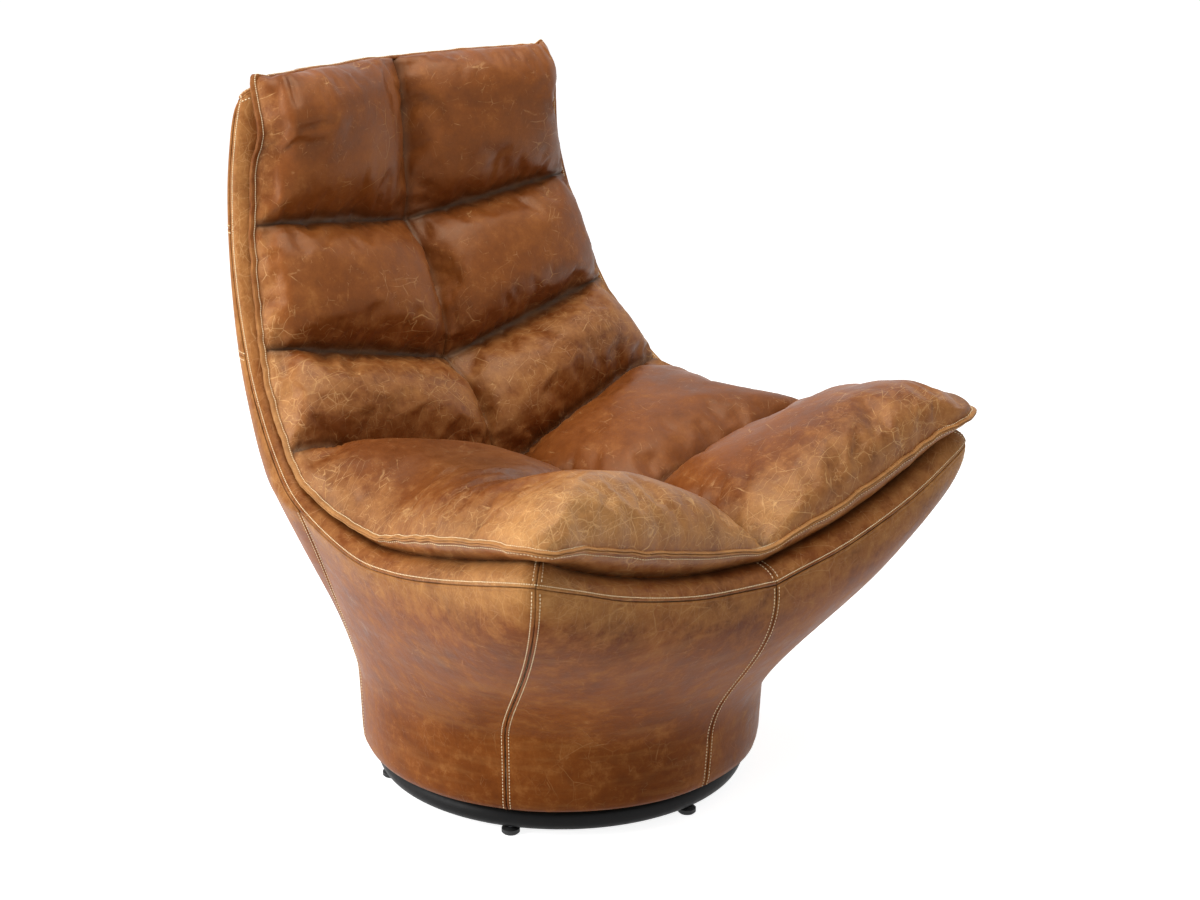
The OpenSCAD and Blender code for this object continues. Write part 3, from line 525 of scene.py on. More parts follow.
def scratchLines(p, wearAndBounce):  # fine light lines, more of them where the leather is worn
    shift = p.node("ShaderNodeTexNoise", {"Vector": p.place, "Scale": 7.0, "Detail": 4.0}).outputs["Color"]
    bent = p.node("ShaderNodeMixRGB", {"Fac": leather["scratchBend"], "Color1": p.place, "Color2": shift},
                  blend_type="ADD").outputs["Color"]
    lines = 0.0
    for stretch, turn, width, gate in leather["scratches"]:
        lie = p.node("ShaderNodeMapping", {"Vector": bent, "Rotation": turn, "Scale": stretch})
        cell = p.node("ShaderNodeTexVoronoi", {"Vector": lie.outputs["Vector"], "Scale": 1.0},
                      feature="DISTANCE_TO_EDGE")
        line = p.math("SUBTRACT", 1.0, p.math("DIVIDE", cell.outputs["Distance"], width), clamp=True)
        patches = p.math("ADD", p.noise(stretch[0] * 0.7, 5, 0.65), p.math("MULTIPLY", wearAndBounce, 0.3))
        some = p.ramp(patches, [(gate + 0.06, 0.0), (gate + 0.22, 1.0)])
        lines = p.math("MAXIMUM", lines, p.math("MULTIPLY", line, some))
    return lines


def leatherPaint(name, rubbed=0.0, veins=1.0, sheenStreaks=0.0, shine=0.3):
    p = Paint(name)
    wearAndBounce = p.node("ShaderNodeAttribute", attribute_name="wearAndBounce").outputs["Fac"]
    shade = p.node("ShaderNodeAttribute", attribute_name="shade").outputs["Fac"]
    mottle = p.noise(leather["mottle"], 8, 0.7)
    lines = scratchLines(p, wearAndBounce)
    colour = leatherTone(p, mottle, sheenStreaks)
    patchy = p.math("MULTIPLY", p.math("SUBTRACT", mottle, 0.5), 1.1)
    # the worn blend also carries the pad's painted bounce light
    wornAndBounce = p.ramp(p.math("ADD", p.math("ADD", wearAndBounce, rubbed), patchy), [(0.1, 0.0), (1.1, 1.0)])
    specks = p.ramp(p.noise(leather["specks"], 3, 0.6), [(0.42, 0.12), (0.6, 0.0)])
    # the shade attribute blends in the painted shade colour
    for share, tone in ((p.math("MULTIPLY", wornAndBounce, 0.8), "rubbed"),
                        (p.math("MULTIPLY", lines, 0.6 * veins), "vein"),
                        (p.math("MULTIPLY", shade, 0.85), "paintedShade"), (specks, "deep")):
        colour = p.blend(share, colour, linear(*leather[tone]))
    pores = p.node("ShaderNodeTexVoronoi", {"Vector": p.place, "Scale": leather["pores"]}, feature="F1")
    skin = p.bump(pores.outputs["Distance"], 0.16, 0.5)
    skin = p.bump(p.noise(85, 6, 0.62), 1.1, 0.5, over=skin)
    skin = p.bump(p.math("SUBTRACT", 1.0, lines), 0.4, 0.6, over=skin)
    rough = p.ramp(mottle, [(0.3, leather["roughness"] - 0.08), (0.7, leather["roughness"] + 0.12)])
    return p.finish(Base_Color=colour, Roughness=rough, Normal=skin, Specular_IOR_Level=shine,
                    Specular_Tint=leather["gleam"])


def plainPaint(name, light, dark, scale, roughness, metal=0.0, grain=0.2, shine=0.5):
    p = Paint(name)
    cloud = p.noise(scale, 5, 0.6)
    colour = p.ramp(cloud, [(0.35, linear(*dark)), (0.65, linear(*light))])
    rough = p.ramp(p.noise(scale * 3, 4), [(0.3, roughness - 0.05), (0.7, roughness + 0.08)])
    return p.finish(Base_Color=colour, Roughness=rough, Metallic=metal, Specular_IOR_Level=shine,
                    Normal=p.bump(p.noise(scale * 12, 4), grain, 0.4))


def woodPaint(name):
    p = Paint(name)
    lie = p.node("ShaderNodeMapping", {"Vector": p.place, "Scale": (4, 4, 260)}).outputs["Vector"]
    plies = p.noise(1.0, 3, place=lie)
    colour = p.ramp(plies, [(0.35, linear(150, 112, 68)), (0.65, linear(205, 170, 118))])
    return p.finish(Base_Color=colour, Roughness=0.6, Normal=p.bump(plies, 0.2, 0.4))


# the shell gets painted sheen streaks
shellLeather = leatherPaint("shell_leather", veins=0.4, sheenStreaks=0.35, shine=0.08)
bandLeather = leatherPaint("band_leather", veins=0.6, shine=0.2)
padLeather = leatherPaint("pad_leather", veins=1.0, shine=0.4)
edgeLeather = leatherPaint("edge_leather", rubbed=0.35, veins=0.5)
threadPaint = plainPaint("linen_thread", (255, 240, 204), (240, 214, 164), 900, 0.7, grain=0.1)
blackSteel = plainPaint("black_lacquered_steel", (10, 10, 11), (7, 7, 8), 40, 0.45, grain=0.05, shine=0.15)
glidePlastic = plainPaint("black_glide_plastic", (22, 22, 23), (14, 14, 15), 120, 0.55, grain=0.1)
plywood = woodPaint("birch_plywood")
foam = plainPaint("moulded_foam", (226, 214, 178), (206, 190, 150), 220, 0.9, grain=0.6)
blackCloth = plainPaint("black_dust_cloth", (30, 30, 32), (18, 18, 20), 700, 0.92, grain=0.3)
cagePlastic = plainPaint("cage_plastic", (214, 190, 110), (190, 166, 90), 90, 0.5, grain=0.1)
brightSteel = plainPaint("polished_steel", (200, 200, 204), (176, 176, 182), 60, 0.22, metal=1.0,
                         grain=0.02)
zincSteel = plainPaint("zinc_plated_steel", (168, 172, 176), (134, 138, 144), 45, 0.38, metal=1.0,
                       grain=0.05)
paints = {
    "black_steel": blackSteel, "glide_plastic": glidePlastic, "plywood": plywood, "moulded_foam": foam,
    "dust_cloth": blackCloth, "cage_plastic": cagePlastic, "ball_steel": brightSteel,
    "zinc_steel": zincSteel, "leather_shell": shellLeather, "leather_band": bandLeather,
    "leather_pad": padLeather,
}
for part in frame["record"]["subparts"]:
    mesh = frame["nodes"][part["node"]].data
    for n in range(len(mesh.materials)):
        mesh.materials[n] = paints[part["material_slot"]]
print("frame and materials ready")


# Camera

camera = {"focal": 2280.18, "pitch": 16.01, "turn": -44.26, "back": 2.9099, "height": 1.3473,
          "shift": (39.29, -47.5), "imageWidth": 1200}
eye = bpy.data.cameras.new("photo_camera")
eyeObject = bpy.data.objects.new("photo_camera", eye)
bpy.context.scene.collection.objects.link(eyeObject)
turn, pitch = radians(camera["turn"]), radians(camera["pitch"])
eyeObject.location = (camera["back"] * sin(turn), -camera["back"] * cos(turn), camera["height"])
eyeObject.rotation_euler = (pi / 2 - pitch, 0, turn)
eye.sensor_width = 36
eye.lens = camera["focal"] / camera["imageWidth"] * eye.sensor_width
eye.shift_x = camera["shift"][0] / camera["imageWidth"]
eye.shift_y = camera["shift"][1] / camera["imageWidth"]
bpy.context.scene.camera = eyeObject


# Outer leather: panels with turned edges that meet at the seams

panels = {"thick": 2.4, "uneven": 1.1, "unevenSize": 95, "cell": 9, "wornDepth": 42}
backSeamRows = (19, 24)
hemShares = (0, 0.025, 0.07, 0.2)  # where the hem's rows and the drum's kink lie on a panel's grid
trailRise = 0.45  # how much heights count in the search for the nearest rim station

rimTrail = KDTree(2 * fullLoop)
for n in range(2 * fullLoop):
    p = rimSeam(n / 2)
    rimTrail.insert((p.x, p.y, trailRise * p.z), n)
rimTrail.balance()


def stationNear(p):
    return rimTrail.find((p.x, p.y, trailRise * p.z))[1] / 2


def shellWear(p):  # rubbed along the rim, most at the front corners
    k = stationNear(p)
    toRim = max(0, rimSeam(k).z - p.z)
    corner = 0.5 + 0.5 * bump(mirrored(k), 8.5, 4)
    return 0.62 * corner * exp(-(toRim / panels["wornDepth"]) ** 2) + 0.07


def columnPoint(row, column):  # columns past the back's middle count on round the left side
    halfRound = sideStation + frontStations
    return skinPoint(row, column if column <= halfRound else column - 2 * halfRound)


outerTrees = []


def leatherPanel(name, rows, columns):
    corners = [columnPoint(row, column) for row in rows for column in columns]
    wide = max(8, int((corners[3] - corners[2]).length / panels["cell"]))
    tall = max(8, int((corners[2] - corners[0]).length / panels["cell"]))
    hemmed = rows[0] == 0

    def placeAt(column, row):  # the drum's hem gets a small share of the grid's rows
        if hemmed:
            share = max(0, row / rows[1])
            if share < hemShares[-1]:
                low = next(n for n in range(drumRow) if share < hemShares[n + 1])
                row = low + (share - hemShares[low]) / (hemShares[low + 1] - hemShares[low])
            else:
                row = mix(drumRow, rows[1], (share - hemShares[-1]) / (1 - hemShares[-1]))
        return columnPoint(row, column)

    bm = sewnSheet(placeAt, columns, rows, (wide, tall), (True, True, not hemmed, True))
    uneven(bm, panels["uneven"], panels["unevenSize"], 3)
    setWear(bm, shellWear)
    outerTrees.append(BVHTree.FromBMesh(bm))
    thickLeather(bm, panels["thick"])
    return newPiece(name, bm, shellLeather, [name.replace("leather_", "")])


leatherPanel("leather_front_panel_right", (0, rimRow), (0, frontStations))
leatherPanel("leather_front_panel_left", (0, rimRow), (-frontStations, 0))
leatherPanel("leather_side_panel_right", (0, rimRow), (frontStations, sideStation))
leatherPanel("leather_side_panel_left", (0, rimRow), (-sideStation, -frontStations))
backColumns = (sideStation, sideStation + 2 * frontStations)
leatherPanel("leather_back_panel_lower", (0, backSeamRows[0]), backColumns)
leatherPanel("leather_back_panel_middle", backSeamRows, backColumns)
leatherPanel("leather_back_panel_upper", (backSeamRows[1], topRow), backColumns)
print("outer panels made")


# Rolled rim band in its five lengths

band = {"thick": 2.2, "uneven": 0.8, "unevenSize": 60, "rows": 9, "perStation": 5, "lastAngle": 97,
        "shadowStart": 0.45}


def bandWear(p):  # rubbed at the front corners and up the back
    k = mirrored(stationNear(p))
    return 0.2 + 0.5 * bump(k, 9, 4) + 0.25 * ease((k - 24) / 8)


def inwardDepth(p):  # share of the band's width from its outer seam
    k = stationNear(p)
    return (p - rimSeam(k)).dot(loopAt(rimIn, k)) / shell["bandWidth"]


def rimBand(name, first, last):
    cells = ((last - first) * band["perStation"], band["rows"])
    bm = sewnSheet(bandPoint, (first, last), (0, band["lastAngle"]), cells, (True, True, True, False))
    uneven(bm, band["uneven"], band["unevenSize"], 11)
    setWear(bm, bandWear)
    shade = bm.verts.layers.float["shade"]
    for v in bm.verts:  # painted shadow where the pad lies on the band
        depth = inwardDepth(v.co / mm)
        v[shade] = max(v[shade], 0.9 * ease((depth - band["shadowStart"]) / 0.35))
    outerTrees.append(BVHTree.FromBMesh(bm))
    thickLeather(bm, band["thick"])
    return newPiece(name, bm, bandLeather, [name.replace("leather_", "")])


rimBand("leather_rim_front_right", 0, frontStations)
rimBand("leather_rim_side_right", frontStations, topStation)
rimBand("leather_rim_top", topStation, leftTop)
rimBand("leather_rim_side_left", leftTop, fullLoop - frontStations)
rimBand("leather_rim_front_left", fullLoop - frontStations, fullLoop)
print("rim band made")


# Quilted pad: one cover over seat and back, drawn down along its seams

pad = {
    "seatPuff": 72, "backPuff": 56, "seamRise": 0.2, "flange": 7, "columns": 120, "perStation": 7,
    "bendStart": 11, "leanOver": 9, "puffOver": 6, "lean": 68, "blendRows": 6,
    "bowRight": 2.6, "bowLeft": 4.6, "fade": 0.75, "start": 0.9, "fill": 0.75,
    "seamDark": 0.9, "seamWidth": 5, "stationRun": 26, "halfWidth": 380,
}
cloth = {"quality": 6, "mass": 0.25, "airDamping": 1.5, "stiffness": 40, "bending": 1.2,
         "pressure": 5.0, "slack": -0.035, "frames": 14, "cap": 22}
boxing = {"rings": 9, "bulge": 0.17, "inset": 5, "drop": 2.2, "footAngle": 78, "footLift": -0.3,
          "fold": 0.05}
# row of the pad, then y and z of its middle line: down in the grooves, and in the bowl it lies in
grooveRows = [[4, -245, 380], [8, -115, 372], [12, 30, 370], [15, 126, 374], [16, 138, 398], [17, 150, 427],
              [18, 170, 461], [19, 198, 497], [20, 236, 528], [21, 240, 560], [22, 252, 600], [23, 268, 638],
              [24, 290, 677], [25, 316, 713], [26, 317, 750], [27, 319, 800], [28, 321, 850], [29, 324, 900]]
bowlRows = [[1, -318, 353], [2, -290, 322], [4, -215, 297], [6, -130, 289], [8, -50, 287], [10, 25, 288],
            [12, 90, 292], [14, 148, 304], [15, 175, 319], [16, 199, 348], [17, 222, 385], [18, 243, 427],
            [20, 280, 513], [22, 311, 593], [25, 343, 705], [27, 350, 785], [28, 346, 825], [29, 336, 868]]
widthShares = [0, 0.1, 0.25, 0.42, 0.6, 0.76, 0.88, 0.96, 1]  # where the front and top stations lie
padRows = sideStations + backStations
gridRows = padRows * pad["perStation"]
seamRows = [0, 8, 15, 20, 25, padRows]  # the cross seams, and both ends
flangeBow = {"station": fullLoop - 36.3, "width": 0.9, "depth": 9}  # the near upper corner is drawn in
flangeRipple = ((1.6, 0.8, 3), (1.2, 2.1, 9))  # height, pace along the stations and seed


def edgeAt(k):  # the flange's edge, a little wavy
    inDirection, outDirection = loopAt(rimIn, k), loopAt(rimOut, k)
    ripple = sum(height * noise.noise((k * pace, seed, 0)) for height, pace, seed in flangeRipple)
    bow = flangeBow["depth"] * bump(k % fullLoop, flangeBow["station"], flangeBow["width"])
    return loopAt(padLoop, k) + ripple * inDirection + (bow + 1.2 * ripple) * outDirection


def seamAt(k):  # where the top is sewn to the flange
    return edgeAt(k) + pad["flange"] * loopAt(rimIn, k)


def stationOf(share):  # the front or top station that lies at a share of the pad's width
    share = abs(share)
    n = 0
    while n < len(widthShares) - 2 and share > widthShares[n + 1]:
        n += 1
    return n + (share - widthShares[n]) / (widthShares[n + 1] - widthShares[n])


def borderStation(share, i):  # the station that a row of the pad ends at
    if i <= 0:
        return stationOf(share) if share >= 0 else fullLoop - stationOf(share)
    if i >= padRows:
        return halfLoop - stationOf(share) if share >= 0 else halfLoop + stationOf(share)
    return frontStations + i if share > 0 else fullLoop - frontStations - i


def hungRow(i, share, middle, fullness, edgeOf):  # a row drawn from its middle out to the border
    edge = edgeOf(borderStation(1 if share >= 0 else -1, i))
    f = abs(share) ** fullness
    return Vector((edge.x * abs(share), mix(middle[0], edge.y, f), mix(middle[1], edge.z, f)))


def hungSurface(i, share, line, fullness, edgeOf):  # hung from a border loop and a centre line
    first, last = edgeOf(0), edgeOf(halfLoop)
    centre = along([[0, first.y, first.z]] + line + [[padRows, last.y, last.z]], i)[1:3]
    p = hungRow(i, share, centre, fullness, edgeOf)
    for end, middle, full in ((0, first.yz, 1.6), (padRows, last.yz, 2)):  # meets front and top borders
        away = abs(i - end) / pad["blendRows"]
        if away < 1:
            gap = edgeOf(borderStation(share, end)) - hungRow(end, share, middle, full, edgeOf)
            p += gap * (1 - away) ** 1.5
    return p


def padBase(i, share):
    return hungSurface(i, share, grooveRows, 1, seamAt)


def puff(t):  # the rounded section of a lump
    return sqrt(max(0, 1 - abs(2 * t - 1) ** 3))


def lumpShare(i):  # how far a row lies through its lump
    n = 0
    while n < len(seamRows) - 2 and i > seamRows[n + 1]:
        n += 1
    return (i - seamRows[n]) / (seamRows[n + 1] - seamRows[n])


def liftAt(i):  # which way and how far the lumps stand out
    lean = radians(pad["lean"] * ease((i - pad["bendStart"]) / pad["leanOver"]))
    high = mix(pad["seatPuff"], pad["backPuff"], ease((i - pad["bendStart"]) / pad["puffOver"]))
    return high * Vector((0, -sin(lean), cos(lean)))


def rowOf(i, share):  # the seat's cross seam bows forward towards its ends
    bow = pad["bowRight"] * share ** 1.6 if share > 0 else pad["bowLeft"] * abs(share) ** 0.8
    sewnRow, bend = seamRows[1:3]
    middle = sewnRow - bow
    if i <= sewnRow:
        return i * middle / sewnRow
    return middle + (i - sewnRow) * (bend - middle) / (bend - sewnRow) if i < bend else i


def seamDepth(i, share):  # the seat's cross seam fades out where its lumps merge at the left
    fade = pad["fade"] * ease((-share - 0.15) / 0.5) * bump(i, seamRows[1], 3)
    return mix(pad["seamRise"], 1, fade)


def padTop(i, share):
    rise = mix(seamDepth(i, share), 1, puff(lumpShare(i))) * puff(abs(share))
    row = rowOf(i, share)
    return padBase(row, share) + pad["start"] * rise * liftAt(row)


def seamShade(share, i):  # painted shade: dark in the seams, and a little on the left seat's rear lump
    cross = min(abs(i - n) * pad["stationRun"] for n in seamRows[1:-1])
    strength = (1 - seamDepth(i, share)) / (1 - pad["seamRise"])
    # painted shade that darkens the left seat's rear lump
    rear = 0.55 * bump(share, -0.6, 0.35) * bump(i, 10.5, 3)
    atCross = strength * bump(cross, 0, pad["seamWidth"])
    atMiddle = bump(share * pad["halfWidth"], 0, pad["seamWidth"])
    return max(rear, pad["seamDark"] * atCross, pad["seamDark"] * atMiddle)


def padWearAndBounce(share, i, p):  # rubbed beside the seat's edge, less along the back's, with painted bounce light low on the back
    seat = 1 - ease((i - 12) / 4)
    edge = min((1 - abs(share)) * p.length * 0.9, i * 22 + 8 if seat > 0 else 400)  # about how far in
    corner = bump(share, -0.85, 0.55) * bump(i, 2.5, 4.5)
    nose = bump(share, 0, 0.12) * bump(i, 1.2, 1.6)
    onSeat = 0.35 * bump(edge, 0, 60) + 0.5 * corner + 0.35 * nose
    # the term at row 18 paints bounce light from the seat onto the lower back
    onBack = 0.22 * bump(edge, 0, 30) + 0.27 * bump(i, 18, 3)
    return mix(onBack, onSeat, seat)


def boxingPoint(k, share):  # the side wall under the flange, down to the rim band
    top = edgeAt(k) + boxing["inset"] * loopAt(rimIn, k) - boxing["drop"] * loopAt(rimOut, k)
    foot = bandPoint(k, boxing["footAngle"], boxing["footLift"])
    height = (top - foot).length
    fold = boxing["fold"] * height * noise.noise((k * 1.7, share * 1.5, 5)) * sin(pi * share)
    out = boxing["bulge"] * height * sin(pi * share ** 0.8)
    return top.lerp(foot, share) - (out + fold) * loopAt(rimIn, k)


def footAt(k):
    return boxingPoint(k, 1)


def simulateCover(piece, pinned):  # blows the cover up between its seams
    group = piece.vertex_groups.new(name="seams")
    group.add(pinned, 1.0, "REPLACE")
    start = [v.co.copy() for v in piece.data.vertices]
    blowUp = piece.modifiers.new("blow_up", "CLOTH")
    how = blowUp.settings
    how.quality, how.mass, how.air_damping = cloth["quality"], cloth["mass"], cloth["airDamping"]
    how.tension_stiffness = how.compression_stiffness = how.shear_stiffness = cloth["stiffness"]
    how.bending_stiffness = cloth["bending"]
    how.vertex_group_mass, how.pin_stiffness = "seams", 1.0
    how.use_pressure, how.uniform_pressure_force = True, cloth["pressure"]
    how.shrink_min = cloth["slack"]
    how.effector_weights.gravity = 0
    blowUp.collision_settings.use_collision = False
    scene = bpy.context.scene
    for frameNumber in range(1, cloth["frames"] + 1):
        scene.frame_set(frameNumber)
    shaped = piece.evaluated_get(bpy.context.evaluated_depsgraph_get()).to_mesh()
    moved = [v.co.copy() for v in shaped.vertices]
    piece.modifiers.remove(blowUp)
    scene.frame_set(1)
    for v, a, b in zip(piece.data.vertices, start, moved):
        travel = b - a
        v.co = a + travel * min(1, cloth["cap"] * mm / max(travel.length, 1e-9))


def isSewn(share, i):  # points that the thread holds down
    onBorder = abs(share) > 0.999 or i in (0, padRows)
    onCross = min(abs(i - s) for s in seamRows) < 0.01 and seamDepth(i, share) < 0.4
    return onBorder or abs(share) < 0.001 or onCross


def puffUp(bm, places):  # gives the cover the shape that the simulation finds
    mesh = bpy.data.meshes.new("cover")
    bm.to_mesh(mesh)
    cover = bpy.data.objects.new("cover", mesh)
    bpy.context.scene.collection.objects.link(cover)
    simulateCover(cover, [n for n, place in enumerate(places) if isSewn(*place)])
    for v, shaped in zip(bm.verts, mesh.vertices):
        v.co = shaped.co
    bpy.data.objects.remove(cover)
    bm.normal_update()


def padCover():  # the top of the pad, and the border station of each point on its edge
    wide = pad["columns"] + 1
    places = [(2 * (n % wide) / pad["columns"] - 1, padRows * (n // wide) / gridRows)
              for n in range(wide * (gridRows + 1))]
    bm = sheetGrid(lambda u, v: padTop(padRows * v, 2 * u - 1), pad["columns"], gridRows)
    bm.verts.index_update()
    wearAndBounce, shade = bm.verts.layers.float.new("wearAndBounce"), bm.verts.layers.float.new("shade")
    for v, (share, i) in zip(bm.verts, places):
        v[wearAndBounce] = padWearAndBounce(share, i, v.co / mm)
        v[shade] = seamShade(share, i)
    puffUp(bm, places)
    return bm, {v: borderStation(share, rowOf(i, share))
                for v, (share, i) in zip(bm.verts, places) if v.is_boundary}


def addBoxing(bm, ring):  # the side wall, ring by ring, down to the band
    wearAndBounce, shade = bm.verts.layers.float["wearAndBounce"], bm.verts.layers.float["shade"]
    edges = [e for e in bm.edges if e.is_boundary]
    for n in range(boxing["rings"]):
        made = bmesh.ops.extrude_edge_only(bm, edges=edges)["geom"]
        fresh = {v for v in made if isinstance(v, bmesh.types.BMVert)}
        edges = [e for e in made if isinstance(e, bmesh.types.BMEdge) and all(v in fresh for v in e.verts)]
        nextRing = {}
        for v in fresh:
            k = next(ring[e.other_vert(v)] for e in v.link_edges if e.other_vert(v) in ring)
            nextRing[v] = k
            v.co = boxingPoint(k, n / (boxing["rings"] - 1)) * mm
            v[wearAndBounce] = 0.25
            # painted shade, darkest at the foot where the boxing meets the band
            v[shade] = ease(1.6 * ((n + 1) / boxing["rings"] - 0.5))
        ring = nextRing


def underPoint(u, v):  # the underside lies in the moulded bowl
    share, i = 2 * u - 1, padRows * v
    row = rowOf(i, share)
    border = abs(share) > 0.999 or i < 0.001 or i > padRows - 0.001
    return footAt(borderStation(share, row)) if border else hungSurface(row, share, bowlRows, 3, footAt)


def addUnderside(bm):
    under = sheetGrid(underPoint, pad["columns"], gridRows)
    bmesh.ops.reverse_faces(under, faces=under.faces[:])
    spare = bpy.data.meshes.new("underside")
    under.to_mesh(spare)
    under.free()
    bm.from_mesh(spare)
    bpy.data.meshes.remove(spare)


bm, ring = padCover()
addBoxing(bm, ring)
addUnderside(bm)
bmesh.ops.remove_doubles(bm, verts=bm.verts[:], dist=0.02 * mm)
bmesh.ops.recalc_face_normals(bm, faces=bm.faces[:])
quiltedPad = newPiece("quilted_pad", bm, padLeather, ["seat_cushion", "back_cushion"])
print("quilted pad made")


# Flange: the two turned edges that stand out all round the pad

flange = {"perStation": 6, "overlap": 3, "upper": 2.6, "lower": 2.8, "nose": 0.6, "notch": 3,
          "wornLow": 0.35, "wornHigh": -0.15, "highFrom": 480, "highOver": 300}
flangeProfile = [  # outward from the edge, up
    (-pad["flange"] - flange["overlap"], 1.1), (-pad["flange"], flange["upper"]),
    (-3.5, flange["upper"] + 0.2), (-1.4, flange["upper"]), (-0.3, flange["upper"] - 0.6),
    (0.1, 1.4), (-0.4, flange["nose"]),
    (-flange["notch"], 0.1), (-flange["notch"], -0.1), (-0.5, -flange["nose"]), (0, -1.5),
    (-0.5, -flange["lower"] + 0.5), (-1.8, -flange["lower"]), (-4, -flange["lower"] - 0.1),
    (-pad["flange"], -flange["lower"]), (-pad["flange"] - flange["overlap"], -1.2),
]


def flangePoint(u, v):
    k = u * fullLoop
    out, up = flangeProfile[round(v * len(flangeProfile)) % len(flangeProfile)]
    return edgeAt(k) - out * loopAt(rimIn, k) + up * loopAt(rimOut, k)


def flangeWear(p):  # rubbed round the seat, dark up the back
    height = ease((p.z - flange["highFrom"]) / flange["highOver"])
    return mix(flange["wornLow"], flange["wornHigh"], height)


bm = sheetGrid(flangePoint, fullLoop * flange["perStation"], len(flangeProfile), closed=True)
bmesh.ops.recalc_face_normals(bm, faces=bm.faces[:])
setWear(bm, flangeWear)
flangeTree = BVHTree.FromBMesh(bm)
newPiece("pad_flange", bm, edgeLeather)
print("flange made")


# Seams sewn with light linen thread

sewing = {  # pitch and length of the stitches, and where their rows run
    "fine": (3.0, 2.5), "coarse": (4.6, 3.5), "fromSeam": 4.6, "bandFromSeam": 4.6,
    "flangeIn": 6.2, "flangeUp": 3, "boxingShare": 0.14, "acrossBand": (20, 75),
    "panelRows": (0.9, rimRow - 0.08),
}
bandJoints = (0, frontStations, topStation, leftTop, fullLoop - frontStations)


class OuterSkin:  # answers for all pieces of the shell and the band
    def find_nearest(self, place):
        return min((tree.find_nearest(place) for tree in outerTrees), key=lambda found: found[3])


padMesh = quiltedPad.data
padTree = BVHTree.FromPolygons([v.co for v in padMesh.vertices], [f.vertices for f in padMesh.polygons])
skinTree = OuterSkin()


def trail(pointAt, first, last, step=0.1):
    count = int(abs(last - first) / step) + 1
    return [pointAt(mix(first, last, n / count)) * mm for n in range(count + 1)]


def bandStitch(k):  # along the band, just above its outer seam
    height = shell["bandHeight"] * loopAt(bandShares, k)
    return bandPoint(k, degrees(asin(min(0.9, sewing["bandFromSeam"] / height))))


def flangeStitch(k):
    return edgeAt(k) + sewing["flangeIn"] * loopAt(rimIn, k) + sewing["flangeUp"] * loopAt(rimOut, k)


def boxingStitch(k):
    return boxingPoint(k, sewing["boxingShare"])


def acrossBand(joint, side):  # beside the joint of two lengths of the band
    k = joint + side * 2 * sewing["fromSeam"] / rimRun(joint).length
    return trail(lambda phi: bandPoint(k, phi), *sewing["acrossBand"], step=4)


def besideColumn(column, side):
    def pointAt(row):
        p, q = columnPoint(row, column), columnPoint(row, column + 0.2 * side)
        return p + sewing["fromSeam"] * (q - p).normalized()
    return trail(pointAt, *sewing["panelRows"])


def besideRow(row, side):
    def pointAt(column):
        p, q = columnPoint(row, column), columnPoint(row + 0.1 * side, column)
        return p + sewing["fromSeam"] * (q - p).normalized()
    return trail(pointAt, backColumns[0] + 0.05, backColumns[1] - 0.05)


def stitching(name, paths, kind="coarse", tree=skinTree):
    bm = bmesh.new()
    for path in paths:
        sew(bm, path, *sewing[kind], tree)
    return newPiece(name + "_stitching", bm, threadPaint)


stitching("rim_band", [trail(bandStitch, 0, fullLoop)], "fine")
stitching("flange", [trail(flangeStitch, 0, fullLoop)], "fine", flangeTree)
stitching("boxing", [trail(boxingStitch, 0, fullLoop)], "coarse", padTree)
stitching("band_joint", [acrossBand(joint, side) for joint in bandJoints for side in (-1, 1)])
stitching("front_seam", [besideColumn(0, side) for side in (-1, 1)])
for name, column in (("corner_seam", frontStations), ("side_seam", sideStation)):
    stitching(name + "_right", [besideColumn(column, side) for side in (-1, 1)])
    stitching(name + "_left", [besideColumn(-column, side) for side in (-1, 1)])
for name, row in zip(("back_seam_lower", "back_seam_upper"), backSeamRows):
    stitching(name, [besideRow(row, side) for side in (-1, 1)])
print("seams sewn")


# Floor, studio light and white background

studio = {
    "left": {"place": (-2.7, 1.3, 1.4), "size": (1.8, 2.4), "power": 92},
    "top": {"place": (-0.3, -0.3, 3.0), "size": (2.2, 2.2), "power": 66},
    "front": {"place": (-0.8, -3.5, 1.6), "size": (2.4, 2.4), "power": 9},
    "world": 0.22, "aim": (0, 0, 0.45), "floor": (0.86, 0.86, 0.86, 1), "floorGlow": 0.86, "floorSize": 30,
}


def directRays(tree):  # 1 for rays from the camera, in reflections and through glass
    path = tree.nodes.new("ShaderNodeLightPath")
    seen = path.outputs["Is Camera Ray"]
    for ray in ("Is Glossy Ray", "Is Transmission Ray"):
        both = tree.nodes.new("ShaderNodeMath")
        both.operation = "MAXIMUM"
        tree.links.new(seen, both.inputs[0])
        tree.links.new(path.outputs[ray], both.inputs[1])
        seen = both.outputs[0]
    return seen


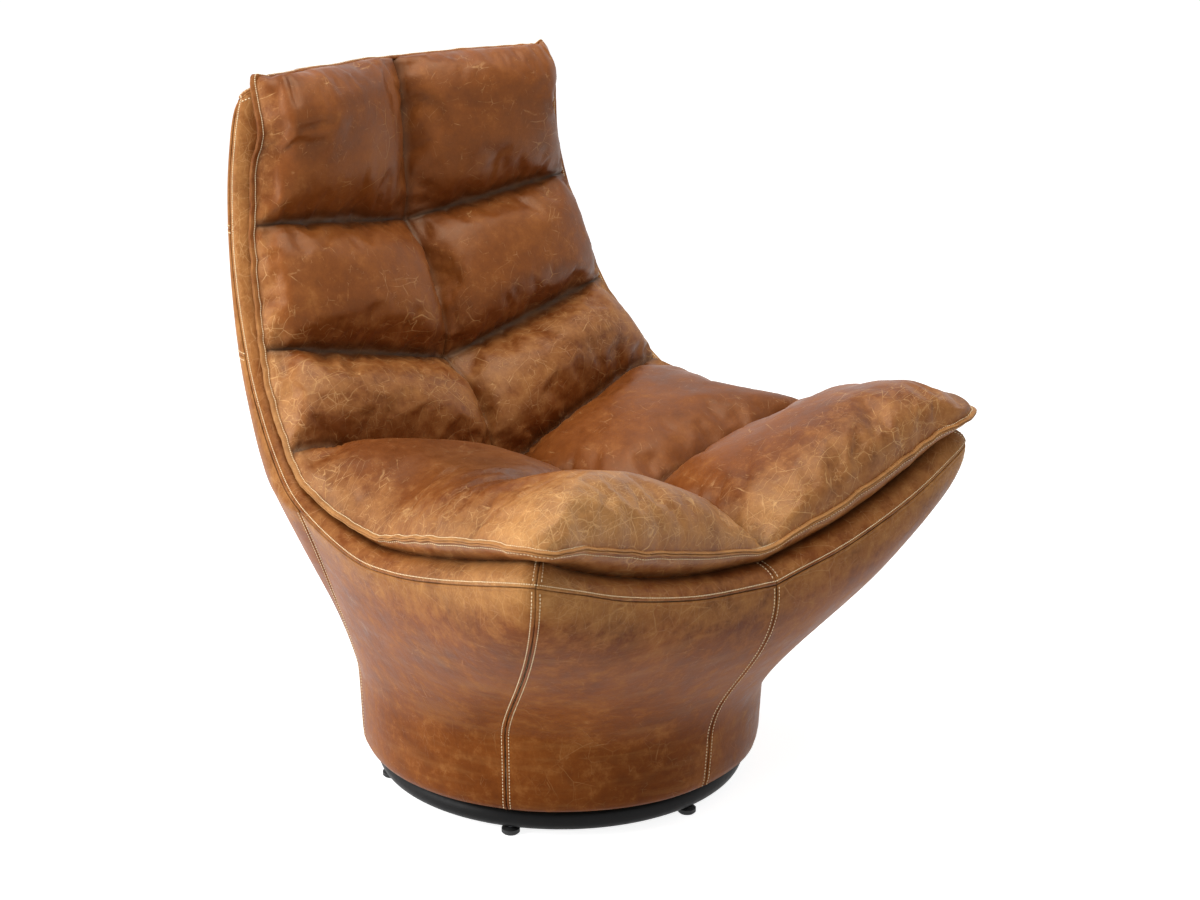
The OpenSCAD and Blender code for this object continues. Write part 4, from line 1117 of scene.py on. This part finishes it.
def choose(tree, asLit, asSeen, output):  # one shader for light on the chair, one for what is seen
    pick = tree.nodes.new("ShaderNodeMixShader")
    tree.links.new(directRays(tree), pick.inputs[0])
    tree.links.new(asLit.outputs[0], pick.inputs[1])
    tree.links.new(asSeen.outputs[0], pick.inputs[2])
    tree.links.new(pick.outputs[0], tree.nodes[output].inputs["Surface"])


def whiteWorld():
    world = bpy.data.worlds.new("studio")
    bpy.context.scene.world = world
    world.use_nodes = True
    tree = world.node_tree
    lit, white = tree.nodes["Background"], tree.nodes.new("ShaderNodeBackground")
    lit.inputs["Color"].default_value = white.inputs["Color"].default_value = (1, 1, 1, 1)
    lit.inputs["Strength"].default_value = studio["world"]
    white.inputs["Strength"].default_value = 1.0
    choose(tree, lit, white, "World Output")


def addSoftbox(name):
    lamp = bpy.data.lights.new(name + "_softbox", "AREA")
    lamp.shape = "RECTANGLE"
    lamp.size, lamp.size_y = studio[name]["size"]
    lamp.energy = studio[name]["power"]
    softbox = bpy.data.objects.new(name + "_softbox", lamp)
    bpy.context.scene.collection.objects.link(softbox)
    softbox.location = studio[name]["place"]
    look = Vector(studio["aim"]) - softbox.location
    softbox.rotation_euler = look.to_track_quat("-Z", "Y").to_euler()


def floorPaint():
    paint = bpy.data.materials.new("pale_floor")
    paint.use_nodes = True
    tree = paint.node_tree
    pale = tree.nodes["Principled BSDF"]
    pale.inputs["Base Color"].default_value = studio["floor"]
    pale.inputs["Roughness"].default_value = 0.9
    pale.inputs["Specular IOR Level"].default_value = 0.1
    glow = tree.nodes.new("ShaderNodeEmission")
    glow.inputs["Strength"].default_value = studio["floorGlow"]
    glowing = tree.nodes.new("ShaderNodeAddShader")
    tree.links.new(pale.outputs[0], glowing.inputs[0])
    tree.links.new(glow.outputs[0], glowing.inputs[1])
    choose(tree, pale, glowing, "Material Output")
    return paint


whiteWorld()
for name in ("left", "top", "front"):
    addSoftbox(name)

bm = bmesh.new()
bmesh.ops.create_grid(bm, x_segments=1, y_segments=1, size=studio["floorSize"])
floorMesh = bpy.data.meshes.new("studio_floor")
bm.to_mesh(floorMesh)
bm.free()
floorMesh.materials.append(floorPaint())
studioFloor = bpy.data.objects.new("studio_floor", floorMesh)
bpy.context.scene.collection.objects.link(studioFloor)

bpy.context.scene.view_settings.view_transform = "Standard"
print("scene ready")
